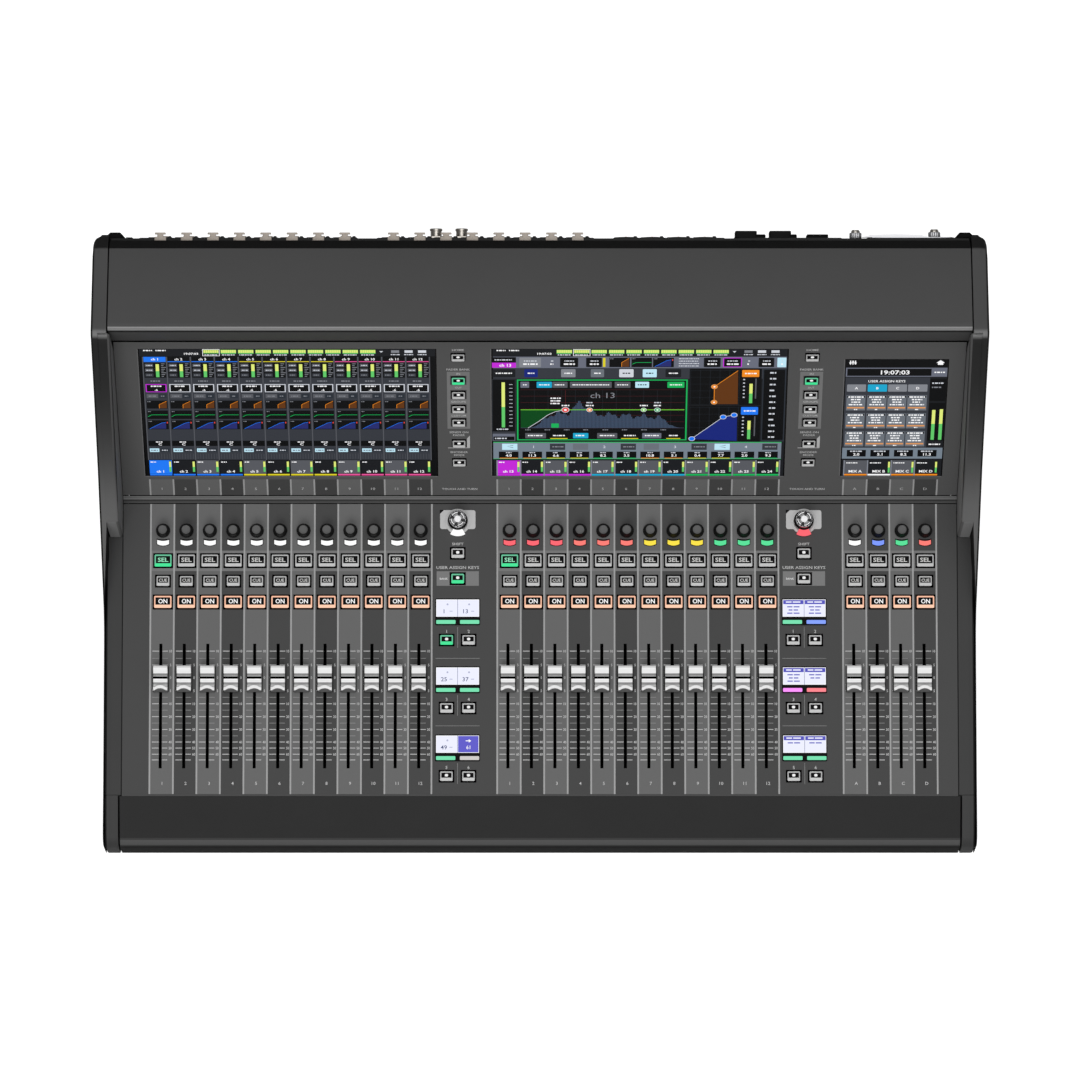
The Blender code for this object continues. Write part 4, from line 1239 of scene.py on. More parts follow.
PANEL_WORDS = (
    ("HOME", 190.0, (2.6, 10.6)), ("FADER BANK", 165.0, (2.6, 21.0)), ("IN", 159.4, (2.3, 3.2)),
    ("OUT", 141.6, (2.3, 6.0)), ("GROUPS", 123.3, (2.3, 13.0)), ("CUSTOM", 105.2, (2.3, 13.0)),
    ("SENDS ON", 83.4, (2.4, 17.0)), ("FADER", 79.6, (2.4, 10.6)), ("ENCODER", 57.2, (2.4, 15.6)),
    ("MODE", 53.4, (2.4, 9.4)), ("TOUCH AND TURN", 8.3, (2.6, 32.0)),
)


def make_panel_print():
    """Numbers under the screens, the key columns' plates and their generic words."""
    marks = Shape()
    for bank in BANKS:
        for x, name in zip(STRIPS[bank], bank_names(bank)):
            write(marks, name, x, 8.5, PRINT, 3.2, "print_grey", 1.1)
    for section in SECTIONS:
        x = PANEL_KEYS_X[section]
        for x0, x1 in ((x - 10.2, x - 7.4), (x + 7.4, x + 10.2)):
            flat(marks, rectangle(x0, x1, 88.0, 162.0), PRINT, "plate_soft")
        levels = (162.0, *[y for key in PANEL_KEYS_Y[1:5] for y in (key + 6.0, key - 6.0)], 88.0)
        for top, low in zip(levels[::2], levels[1::2]):
            flat(marks, rectangle(x - 7.4, x + 7.4, low, top), PRINT, "plate_soft")
        for word, y, size in PANEL_WORDS:
            fit_word(marks, word, x, y, 2 * PRINT, size, "print_grey", 0.01)
        flat(marks, rectangle(x - 10.0, x + 9.6, 62.4, 63.2), PRINT, "plate_grey")
        flat(marks, [(x + 9.8, 62.8), (x + 9.8, 79.0), (x + 7.2, 75.0), (x + 7.2, 62.8)], PRINT, "plate_grey")
    place_piece("panel_print", marks.mesh("panel_print"), PANEL, "console")


# ---------------------------------------------------------------- displays

GLASS = -0.40
LAYER = 0.05


class Picture:
    """What a touchscreen shows: flat lit areas in thin layers just over the glass."""

    def __init__(self, side):
        self.shape = Shape()
        self.side = side
        self.x0, self.x1, self.y0, self.y1 = SCREENS[side]

    def level(self, layer):
        return GLASS + LAYER * layer

    def box(self, x0, x1, y0, y1, colour, layer=1):
        flat(self.shape, rectangle(x0, x1, y0, y1), self.level(layer), colour)

    def pill(self, x0, x1, y0, y1, colour, layer=2):
        radius = min(x1 - x0, y1 - y0) * 0.08
        flat(self.shape, rounded(x0, x1, y0, y1, radius, 2), self.level(layer), colour)

    def area(self, outline, colour, layer=2):
        flat(self.shape, outline, self.level(layer), colour)

    def line(self, points, width, colour, layer=3):
        """A polyline drawn as one strip for each stretch."""
        for (ax, ay), (bx, by) in zip(points, points[1:]):
            length = math.hypot(bx - ax, by - ay) or 1.0
            nx, ny = -(by - ay) / length * width / 2, (bx - ax) / length * width / 2
            self.area([(ax + nx, ay + ny), (ax - nx, ay - ny), (bx - nx, by - ny), (bx + nx, by + ny)],
                      colour, layer)

    def dot(self, x, y, radius, colour, layer=4):
        self.area(circle(x, y, radius, 20), colour, layer)

    def word(self, word, x, y, size, colour="ui_white", layer=3, width=1.0, anchor=0.5, weight=0.022):
        write(self.shape, word, x, y, self.level(layer), size, colour, width, 1.0, anchor, weight)

    def framed(self, x0, x1, y0, y1, edge, inside, thick=0.7, layer=2):
        """A box with an outline of its own colour."""
        self.box(x0, x1, y0, y1, edge, layer)
        self.box(x0 + thick, x1 - thick, y0 + thick, y1 - thick, inside, layer + 1)

    def marks(self, x0, x1, y, colour="ui_light", layer=3, size=0.9, seed=0):
        """A line of small print too fine to read: dashes of uneven length."""
        x = x0
        step = seed
        while x < x1 - 0.6:
            length = (1.0, 1.7, 0.7, 2.2, 1.3)[step % 5] * size
            end = min(x + length, x1)
            self.box(x, end, y - size / 2, y + size / 2, colour, layer)
            x = end + 0.45 * size
            step += 1

    def place(self):
        name = f"display_picture_{self.side}"
        place_piece(name, self.shape.mesh(name), PANEL, "console")


FRAME_WIDTH = 0.9


def make_screen_glass(side):
    """A sheet of black glass with softened edges on its housing."""
    x0, x1, y0, y1 = SCREENS[side]
    glass = Shape()
    block(glass, x0, x1, y0, y1, -4.0, GLASS, "glass", radius=0.8, edge=0.15)
    block(glass, x0 - 2.5, x1 + 2.5, y0 - 2.5, y1 + 2.5, -10.0, -3.5, "black_steel", radius=2.0)
    edge = FRAME_WIDTH
    for a, b, c, d in ((x0 - edge, x0, y0 - edge, y1), (x0 - edge, x1, y0 - edge, y0)):
        flat(glass, rectangle(a - 0.3, b - 0.3, c - 0.3, d), 0.03, "screen_frame")
    name = f"touchscreen_{side}_glass"
    place_piece(name, glass.mesh(name), PANEL, "console", (f"touchscreen_{side}",))


def level_meter(picture, x0, x1, y0, y1, share, layer=3):
    """A bar, green below and pale lime above, with the unlit part over it dark."""
    top = y0 + (y1 - y0) * share
    turn = y0 + (y1 - y0) * min(share, 0.45)
    picture.box(x0, x1, top, y1, "ui_black", layer)
    picture.box(x0, x1, y0, turn, "meter_green", layer)
    if top > turn:
        picture.box(x0, x1, turn, top, "meter_lime", layer)


def top_bar(picture, start, y0, y1, chosen):
    """The bar along the top: small print, the clock, ten bank blocks and a few icons."""
    picture.box(picture.x0 + 1.0, picture.x1 - 1.0, y0, y1, "ui_dark")
    picture.marks(start + 1.0, start + 9.0, y1 - 1.6, "ui_white", size=1.5)
    picture.marks(start + 12.0, start + 21.0, y1 - 1.6, "ui_white", size=1.5, seed=2)
    picture.word("19:07:03", start + 43.5, y0 + 3.4, 2.5, width=1.15)
    for i in range(10):
        x = start + 54.0 + 15.5 * i
        if i == chosen:
            picture.framed(x - 0.4, x + 14.9, y0 + 0.4, y1, "ui_white", "ui_black", 0.5)
        picture.box(x + 0.4, x + 14.1, y0 + 3.4, y1 - 0.7, "meter_green", 3)
        for k in range(7):
            picture.box(x + 0.6 + 1.95 * k, x + 2.3 + 1.95 * k, y0 + 4.6, y1 - 0.9, "meter_lime", 4)
        picture.marks(x + 1.4, x + 13.2, y0 + 1.9, "ui_light", 4, 1.3, i)
    x = start + 211.0
    picture.area([(x, y1 - 2.4), (x + 3.4, y1 - 2.4), (x + 1.7, y1 - 4.4)], "ui_light", 2)
    for i in range(3):
        left = x + 10.5 + 12.0 * i
        picture.box(left, left + 7.2, y1 - 4.6, y1 - 1.4, ("ui_mid", "ui_light", "ui_light")[i], 2)
        picture.marks(left - 0.4, left + 7.6, y0 + 2.2, "ui_light", 2, 1.2, i)


def name_cell(picture, x, number, colour, y0, y1, ink="ui_white"):
    """The block over a channel strip with its number, its name and a slim meter."""
    picture.box(x + 0.5, x + PITCH - 0.5, y0, y1, colour, 2)
    tall = y1 - y0
    picture.marks(x + 1.6, x + 6.6, y1 - 2.4, ink, 3, 1.3, number if isinstance(number, int) else 1)
    picture.word(f"ch {number}", x + PITCH * 0.47, y0 + tall * 0.18, 3.2, ink, 3, 1.0)
    level_meter(picture, x + PITCH * 0.86, x + PITCH * 0.95, y0 + 2.6, y1 - 0.8, 0.94, 4)


def gate_picture(picture, x0, x1, y0, y1, layer=3):
    """A small gate curve: a steep rise with a brown field to the right of it."""
    picture.box(x0, x1, y0, y1, "ui_black", layer - 1)
    bend_x, bend_y = x0 + (x1 - x0) * 0.60, y0 + (y1 - y0) * 0.50
    picture.area([(bend_x, y0 + 0.6), (x1 - 0.8, y0 + 0.6), (x1 - 0.8, y1 - 0.8), (bend_x, bend_y)],
                 "ui_brown", layer)
    picture.line([(bend_x, y0 + 0.6), (bend_x, bend_y), (x1 - 0.8, y1 - 0.8)], 0.45, "ui_orange", layer + 1)
    picture.marks(x0 + 0.8, x0 + 4.2, y1 - 1.4, "ui_mid", layer, 0.9)


def curve_picture(picture, x0, x1, y0, y1, layer=3):
    """A small equaliser curve with a low cut at its left."""
    picture.box(x0, x1, y0, y1, "ui_black", layer - 1)
    middle = (y0 + y1) / 2
    picture.line([(x0 + 0.6, middle - 2.4), (x0 + 3.4, middle - 0.4), (x0 + 5.0, middle), (x1 - 0.5, middle)],
                 0.6, "ui_green", layer + 1)
    picture.line([(x0 + 0.5, middle + 0.5), (x0 + 4.0, middle + 0.5)], 0.4, "ui_forest", layer)
    picture.marks(x0 + 0.8, x0 + 3.6, y1 - 1.3, "ui_mid", layer, 0.9, 1)


def comp_picture(picture, x0, x1, y0, y1, layer=3):
    """A small compressor curve over a blue field, with a red mark."""
    picture.box(x0, x1, y0, y1, "ui_black", layer - 1)
    knee_x, knee_y = x0 + (x1 - x0) * 0.66, y0 + (y1 - y0) * 0.70
    picture.area([(x0 + 1.6, y0 + 0.8), (x1 - 2.4, y0 + 0.8), (x1 - 2.4, knee_y + 1.0), (knee_x, knee_y)],
                 "ui_haze", layer)
    picture.line([(x0 + 1.6, y0 + 0.8), (knee_x, knee_y), (x1 - 2.4, knee_y + 1.0)], 0.45, "ui_blue", layer + 1)
    picture.box(x1 - 1.6, x1 - 0.7, y1 - 4.0, y1 - 2.0, "ui_red", layer + 1)
    picture.marks(x0 + 0.8, x0 + 4.0, y1 - 1.4, "ui_mid", layer, 0.9, 2)


GROUP_COLOURS = ("ui_blue", "ui_yellow", "ui_pink")
LEFT_ROWS = {
    "header": (174.3, 180.8), "meter": (154.0, 173.6), "input": (146.4, 153.0), "label": (135.3, 145.7),
    "pill": (127.6, 132.8), "gate": (113.3, 125.0), "curve": (99.8, 112.0), "comp": (86.3, 99.3),
    "sends": (72.7, 86.0), "pan": (65.5, 71.4), "buttons": (57.0, 62.3), "dim": (46.8, 55.8),
    "name": (28.2, 46.1), "strip": (25.9, 27.9),
}


def left_strip(picture, i, x):
    """One channel's column on the left screen, from its heading down to its name."""
    rows = LEFT_ROWS
    group = GROUP_COLOURS[i // 4]

    def span(a, b):
        return x + PITCH * a, x + PITCH * b

    picture.box(*span(0.0, 1.0), rows["dim"][0], rows["header"][1], "ui_shade", 1)
    y0, y1 = rows["header"]
    picture.box(*span(0.04, 0.96), y0, y1, "ui_blue" if i == 0 else "ui_black", 2)
    picture.box(*span(0.04, 0.96), y0, y0 + 0.9, group, 3)
    picture.word(f"ch {i + 1}", x + PITCH / 2, y0 + 3.6, 3.0)
    y0, y1 = rows["meter"]
    picture.box(*span(0.04, 0.96), y0, y1, "ui_black", 2)
    for k in range(3):
        low = y0 + 1.4 + 6.2 * k
        picture.pill(*span(0.08, 0.42), low, low + 4.2, "ui_grey" if k else "ui_shade", 3)
        picture.marks(x + PITCH * 0.13, x + PITCH * 0.38, low + 2.1, "ui_light" if k else "ui_mid", 4, 1.1, k)
    level_meter(picture, *span(0.53, 0.67), y0 + 0.8, y1 - 1.6, 0.97)
    for k in range(8):
        tick = y0 + 1.4 + 2.3 * k
        picture.box(*span(0.76, 0.76 + 0.10 + 0.05 * (k % 3)), tick, tick + 0.8, "ui_mid", 3)
    y0, y1 = rows["input"]
    picture.box(*span(0.04, 0.96), y0, y1, "ui_shade", 2)
    picture.marks(x + 6.0, x + 14.6, (y0 + y1) / 2, "ui_mid", 3, 1.4, i)
    y0, y1 = rows["label"]
    picture.framed(*span(0.06, 0.94), y0, y1, "ui_magenta" if i == 0 else "ui_light", "ui_black", 0.9)
    picture.marks(x + 6.0, x + 15.4, y1 - 2.6, "ui_white", 4, 1.6, i)
    picture.word("-6", x + PITCH / 2, y0 + 3.0, 2.6, layer=4)
    y0, y1 = rows["pill"]
    picture.box(*span(0.08, 0.56), y0, y1, "ui_grey", 2)
    picture.box(*span(0.60, 0.92), y0, y1, "ui_grid", 2)
    picture.marks(x + 3.5, x + 10.0, (y0 + y1) / 2, "ui_mid", 3, 1.2, i + 1)
    picture.marks(x + 14.4, x + 17.6, (y0 + y1) / 2, "ui_mid", 3, 1.2, i)
    for row, draw in (("gate", gate_picture), ("curve", curve_picture), ("comp", comp_picture)):
        y0, y1 = rows[row]
        draw(picture, *span(0.06, 0.94), y0 + 0.6, y1 - 0.6)
    y0, y1 = rows["pan"]
    picture.box(*span(0.04, 0.96), y0 - 0.6, y1 + 0.4, "ui_black", 2)
    picture.marks(x + 7.6, x + 13.4, y1 - 1.2, "ui_white", 3, 1.3, 1)
    picture.word("C", x + PITCH * 0.53, y0 + 1.8, 3.0, width=1.1)
    y0, y1 = rows["buttons"]
    picture.box(*span(0.08, 0.48), y0, y1 - 0.6, "ui_cyan", 2)
    picture.box(*span(0.54, 0.92), y0, y1 - 0.6, "ui_grid", 2)
    picture.marks(x + 2.8, x + 9.4, (y0 + y1) / 2 - 0.3, "ui_slate", 3, 1.4, i)
    picture.marks(x + 12.6, x + 18.4, (y0 + y1) / 2 - 0.3, "ui_light", 3, 1.2, i)
    y0, y1 = rows["dim"]
    for k in range(8):
        line = x + PITCH * (0.10 + 0.115 * k)
        picture.box(line, line + 0.25, y0 + 1.0, y1 - 1.0, "ui_grey", 3)
    colour = "ui_blue" if i == 0 else ("ui_grey" if i % 2 == 0 else "ui_dark")
    name_cell(picture, x, i + 1, colour, *rows["name"])
    picture.box(*span(0.03, 0.97), *rows["strip"], group, 2)


def draw_left():
    picture = Picture("left")
    start = bank_span("left")[0]
    top_bar(picture, start, 181.5, 190.6, 0)
    picture.box(picture.x0 + 1.0, picture.x1 - 1.0, 25.9, 181.2, "ui_black", 0.5)
    for i in range(12):
        left_strip(picture, i, start + PITCH * i)
    for i in range(13):
        x = start + PITCH * i
        picture.box(x - 0.4, x + 0.4, 46.3, 181.0, "ui_grey", 4)
    picture.place()


def bottom_names(picture, start, names, y0, y1):
    """Name cells over the strips, each as (label, cell colour, strip colour), and the bands under them."""
    for i, (label, cell, band) in enumerate(names):
        x = start + PITCH * i
        name_cell(picture, x, label, cell, y0, y1)
        picture.box(x + 0.4, x + PITCH - 0.4, y0 - 2.6, y0 - 0.3, band, 2)
    for i in range(len(names) + 1):
        x = start + PITCH * i
        picture.box(x - 0.6, x + 0.6, y0 - 2.6, y1 + 0.4, "ui_frame", 4)


def control_band(picture, start, y0, y1):
    """The slate band over the names: wide buttons with numbers between them, and twelve value boxes."""
    left, right = picture.x0 + 1.0, start + PITCH * 12 + 1.0
    picture.box(left, right, y0, y1, "ui_band", 1)
    picture.box(left, right, y1 - 1.0, y1, "ui_green", 2)
    picture.box(left, right, y0, y0 + 0.6, "ui_green", 2)
    values = ("ui_orange", "ui_yellow", "ui_green")
    for group in range(4):
        x = start + PITCH * 3 * group
        picture.box(x + 4.6, x + 18.4, y0 + 12.1, y0 + 20.2, "ui_cyan" if group in (0, 3) else "ui_key", 2)
        picture.area([(x + 8.6, y0 + 16.6), (x + 14.6, y0 + 14.6), (x + 14.6, y0 + 15.4)], "ui_slate", 3)
        picture.area([(x + 8.6, y0 + 16.6), (x + 14.6, y0 + 18.6), (x + 14.6, y0 + 17.8)], "ui_slate", 3)
        picture.word(str(group + 1), x + 33.0, y0 + 16.2, 3.2, "ui_light")
        picture.box(x + 47.7, x + 61.5, y0 + 12.1, y0 + 20.2, "ui_shade", 2)
        picture.marks(x + 50.0, x + 60.0, y0 + 16.2, "ui_mid", 3, 1.5, group)
    for i in range(12):
        x = start + PITCH * i
        picture.box(x + 1.6, x + 19.4, y0 + 1.4, y0 + 9.8, "ui_black", 2)
        picture.box(x + 2.4, x + 18.6, y0 + 0.9, y0 + 1.7, values[(i // 2) % 3], 3)
        picture.marks(x + 8.0, x + 13.0, y0 + 8.4, "ui_light", 3, 1.2, i)
        picture.word(f"{(7 * i + 4) % 12}.{(3 * i) % 10}", x + 10.6, y0 + 4.8, 3.2)


GRAPH = {"x": (-20.7, 132.0), "y": (72.4, 151.6), "zero": 112.5, "foot": 88.6}
GRAPH_BUTTONS = (
    (-17.5, -9.7, "ui_slate"), (-3.0, 10.6, "ui_teal"), (11.0, 24.6, "ui_grey"), (26.8, 64.1, "ui_grey"),
    (66.8, 80.9, "ui_grey"), (85.2, 97.5, "ui_cyan"), (113.9, 129.1, "ui_green"),
)
GRAPH_VALUES = (
    (-13.3, 5.4, "ui_grey"), (9.3, 24.8, "ui_black"), (29.8, 43.5, "ui_teal"), (51.5, 69.6, "ui_grey"),
    (73.2, 88.5, "ui_black"), (92.1, 109.3, "ui_slate"), (113.8, 126.5, "ui_black"),
)
BAND_DOTS = ((22.8, 3.6, "ui_red"), (44.5, 2.9, "ui_orange"), (93.0, 2.7, "ui_lime"), (105.4, 2.9, "ui_green"))


def spectrum_height(share):
    """The analyser's curve over the graph's width: a rise, a peak, a long shelf and a fall."""
    rise = 1 / (1 + math.exp(-(share - 0.13) * 42))
    peak = math.exp(-((share - 0.36) / 0.045) ** 2) * 0.62
    fall = 1 / (1 + math.exp((share - 0.90) * 48))
    ripple = 0.10 * math.sin(share * 61) + 0.07 * math.sin(share * 143 + 1)
    return max(0.02, rise * fall * (0.78 - 0.42 * max(0.0, share - 0.4) + ripple) + peak)


def draw_graph(picture):
    """The large equaliser: frame, buttons, grid, analyser, curve, band marks and value row."""
    x0, x1 = GRAPH["x"]
    y0, y1 = GRAPH["y"]
    zero, foot = GRAPH["zero"], GRAPH["foot"]
    picture.box(x0, x1, y0, y1, "ui_green", 1)
    picture.box(x0 + 1.3, x1 - 1.3, y0 + 1.3, y1 - 1.3, "ui_black", 2)
    for i, (left, right, colour) in enumerate(GRAPH_BUTTONS):
        picture.pill(left, right, 141.0, 148.8, colour, 3)
        picture.marks(left + 2.2, right - 2.2, 144.9, "ui_dark" if colour == "ui_cyan" else "ui_white", 4, 1.3, i)
    left, right = x0 + 3.4, x1 - 2.4
    for i in range(1, 12):
        x = left + (right - left) * i / 12
        picture.box(x - 0.1, x + 0.1, foot, 138.5, "ui_grid", 3)
    for i in range(7):
        y = foot + (138.5 - foot) * i / 6
        picture.box(left, right, y - 0.15, y + 0.15, "ui_wine", 3)
    columns = 120
    for i in range(columns):
        share = i / columns
        x = left + (right - left) * share
        tall = spectrum_height(share) * (zero - foot)
        picture.box(x, x + (right - left) / columns * 0.78, foot, foot + tall, "ui_spectrum", 4)
    picture.area([(left, foot), (-10.8, foot), (10.0, 108.5), (18.6, 111.6), (22.8, zero), (left, zero)],
                 "ui_forest", 3.5)
    picture.line([(-10.8, foot), (-1.0, 97.5), (7.0, 105.8), (14.0, 110.2), (22.8, zero)], 0.6, "ui_light", 5)
    picture.line([(left, zero), (right, zero)], 0.8, "ui_lime", 5)
    picture.box(22.6, 23.0, zero, 138.0, "ui_wine", 5)
    for i, (x, radius, colour) in enumerate(BAND_DOTS):
        picture.dot(x, zero, radius, "ui_light", 6)
        picture.dot(x, zero, radius - 0.6, colour, 7)
        picture.dot(x, zero, radius * 0.35, "ui_white", 8)
        picture.marks(x - 3.4, x + 3.6, zero + 5.6, "ui_white", 6, 1.6, i)
        if i % 2:
            picture.marks(x - 3.0, x + 3.5, zero + 9.4, "ui_light", 6, 1.4, i + 2)
    picture.pill(10.2, 16.9, 89.2, 94.6, "ui_green", 5)
    picture.word("ch 13", 56.0, 131.5, 7.2, "ui_mid", 6, 1.05, weight=0.0)
    for k in range(3):
        picture.marks(9.4, 18.6, 127.6 - 3.4 * k, "ui_white", 6, 1.6, k)
    for i in range(8):
        picture.marks(left + 4 + 17.4 * i, left + 9 + 17.4 * i, 86.2, "ui_mid", 3, 1.1, i)
    for i, (a, b, colour) in enumerate(GRAPH_VALUES):
        picture.pill(a, b, 75.0, 82.0, colour, 3)
        if colour == "ui_black":
            picture.box(a, b, 74.4, 75.4, "ui_yellow", 4)
        picture.marks(a + 2.4, b - 2.4, 78.8, "ui_white", 5, 1.5, i)


def draw_centre_rows(picture, start):
    """The two rows of small cells between the top bar and the graphs."""
    picture.box(start - 3.0, 219.8, 166.4, 181.0, "ui_slate", 1)
    picture.box(-42.8, -21.4, 167.0, 180.4, "ui_black", 2)
    picture.box(-42.8, -21.4, 167.0, 173.4, "ui_magenta", 3)
    picture.word("ch 13", -31.0, 170.2, 3.6, layer=4)
    picture.marks(-40.5, -25.0, 177.0, "ui_light", 4, 1.4)
    cells = ((-18.4, 0.9, "ui_mid"), (5.7, 14.9, "ui_slate"), (17.8, 34.1, "ui_dark"), (41.0, 55.3, "ui_dark"),
             (145.9, 161.0, "ui_dark"), (163.1, 180.0, "ui_magenta"), (181.4, 190.2, "ui_slate"),
             (194.7, 208.8, "ui_dark"), (211.5, 219.4, "ui_cyan"))
    for i, (a, b, colour) in enumerate(cells):
        picture.pill(a, b, 167.6, 179.8, colour, 2)
        if b - a > 12 and colour != "ui_mid":
            picture.box(a + 0.9, b - 0.9, 168.4, 178.9, "ui_black", 3)
        picture.marks(a + 4.0, b - 3.0, 175.6, "ui_light", 4, 1.3, i)
        picture.marks(a + 3.4, b - 3.0, 171.6, "ui_white", 4, 1.9, i + 1)
    picture.box(56.1, 58.3, 168.0, 179.5, "ui_yellow", 2)
    for (a, b), draw in zip(((61.8, 80.2), (81.5, 99.8), (100.7, 119.3)), (gate_picture, curve_picture, comp_picture)):
        draw(picture, a, b, 167.6, 179.8)
    for k in range(4):
        picture.marks(123.7, 141.7, 169.2 + 3.1 * k, "ui_light", 3, 1.1, k)
    picture.box(start - 3.0, 219.8, 152.6, 166.4, "ui_shade", 1)
    buttons = ((-42.5, -22.0, "ui_dark"), (-14.0, -2.0, "ui_navy"), (18.8, 31.7, "ui_mid"),
               (45.3, 57.2, "ui_key"), (70.7, 83.5, "ui_light"), (91.7, 104.2, "ui_cyan"),
               (112.0, 126.0, "ui_dark"))
    for i, (a, b, colour) in enumerate(buttons):
        picture.pill(a, b, 154.6, 165.0, colour, 2)
        ink = "ui_dark" if colour in ("ui_light", "ui_cyan") else "ui_white"
        picture.marks(a + 3.0, b - 3.0, 159.8, ink, 3, 1.5, i)


def draw_dynamics(picture):
    """The two curve windows at the right: a gate in orange over a compressor in blue."""
    picture.box(133.6, 198.0, 118.6, 165.6, "ui_black", 2)
    picture.box(133.6, 198.0, 70.6, 117.4, "ui_black", 2)
    for low in (119.4, 71.4):
        for i in range(6):
            x = 134.6 + 8.7 * i
            picture.box(x - 0.1, x + 0.1, low, low + 45.0, "ui_grid", 2.5)
            picture.box(134.6, 178.8, low + 8.8 * i - 0.1, low + 8.8 * i + 0.1, "ui_grid", 2.5)
    picture.area([(156.0, 119.8), (177.2, 119.8), (176.8, 163.2), (156.0, 142.5)], "ui_brown", 3)
    picture.line([(156.0, 119.8), (156.0, 142.5), (176.8, 163.2)], 0.6, "ui_orange", 4)
    for y in (142.5, 122.4):
        picture.dot(156.0, y, 3.0, "ui_amber", 5)
        picture.dot(156.0, y, 2.2, "ui_orange", 6)
        picture.dot(156.0, y, 0.9, "ui_white", 7)
    picture.area([(136.8, 74.0), (177.3, 71.6), (177.0, 105.7), (174.4, 105.7), (164.6, 103.1)], "ui_navy", 3)
    picture.line([(136.8, 74.7), (164.6, 103.1), (174.4, 105.7), (177.0, 105.7)], 0.6, "ui_light", 4)
    for x, y in ((136.8, 74.7), (164.6, 103.1), (174.4, 105.7)):
        picture.dot(x, y, 3.0, "ui_light", 5)
        picture.dot(x, y, 2.4, "ui_blue", 6)
    for (y0, y1), colour in (((155.0, 164.0), "ui_orange"), ((106.0, 116.0), "ui_blue")):
        picture.pill(180.4, 195.7, y0, y1, colour, 3)
        picture.marks(183.0, 193.4, (y0 + y1) / 2, "ui_white", 4, 1.6)
        picture.box(192.4, 193.6, y0 - 28.0, y0 - 2.0, "ui_grey", 3)
        for k in range(6):
            picture.box(181.6, 183.2, y0 - 27.0 + 4.6 * k, y0 - 25.6 + 4.6 * k, "ui_light", 3)
    level_meter(picture, 187.3, 190.2, 121.0, 149.0, 0.9)
    level_meter(picture, 186.6, 189.4, 74.0, 102.0, 0.86)
    picture.box(199.0, 219.8, 70.6, 165.6, "ui_grid", 2)
    for k in range(12):
        low = 73.0 + 7.6 * k
        picture.box(200.0, 218.8, low, low + 7.6, "ui_black", 3)
        picture.marks(205.4, 211.0, low + 3.8, "ui_light", 4, 1.9, k)


def draw_centre():
    picture = Picture("centre")
    start = bank_span("centre")[0]
    top_bar(picture, picture.x0 + 3.5, 181.5, 190.6, 1)
    picture.box(picture.x0 + 1.0, picture.x1 - 1.0, 25.5, 181.2, "ui_dark", 0.5)
    draw_centre_rows(picture, start)
    picture.box(-43.0, -22.0, 71.5, 151.8, "ui_shade", 1)
    picture.box(-42.6, -22.4, 84.0, 151.4, "ui_black", 2)
    picture.box(-42.6, -22.4, 72.0, 81.0, "ui_slate", 2)
    picture.box(-42.0, -23.0, 72.6, 77.4, "ui_black", 3)
    level_meter(picture, -34.4, -31.4, 89.4, 148.6, 0.99)
    for k in range(12):
        picture.box(-27.6, -24.6, 91.0 + 4.9 * k, 91.6 + 4.9 * k, "ui_light", 3)
    picture.marks(-39.0, -28.0, 87.0, "ui_light", 3, 1.5)
    picture.marks(-40.5, -30.0, 75.0, "ui_light", 4, 1.6, 2)
    draw_graph(picture)
    draw_dynamics(picture)
    control_band(picture, start, 47.7, 70.2)
    bands = ("ui_magenta", "ui_teal", "ui_green")
    cells = []
    for i in range(12):
        cell = "ui_magenta" if i == 0 else ("ui_grey" if i % 2 == 0 else "ui_dark")
        cells.append((13 + i, cell, bands[i // 4]))
    bottom_names(picture, start, cells, 28.2, 45.8)
    picture.place()


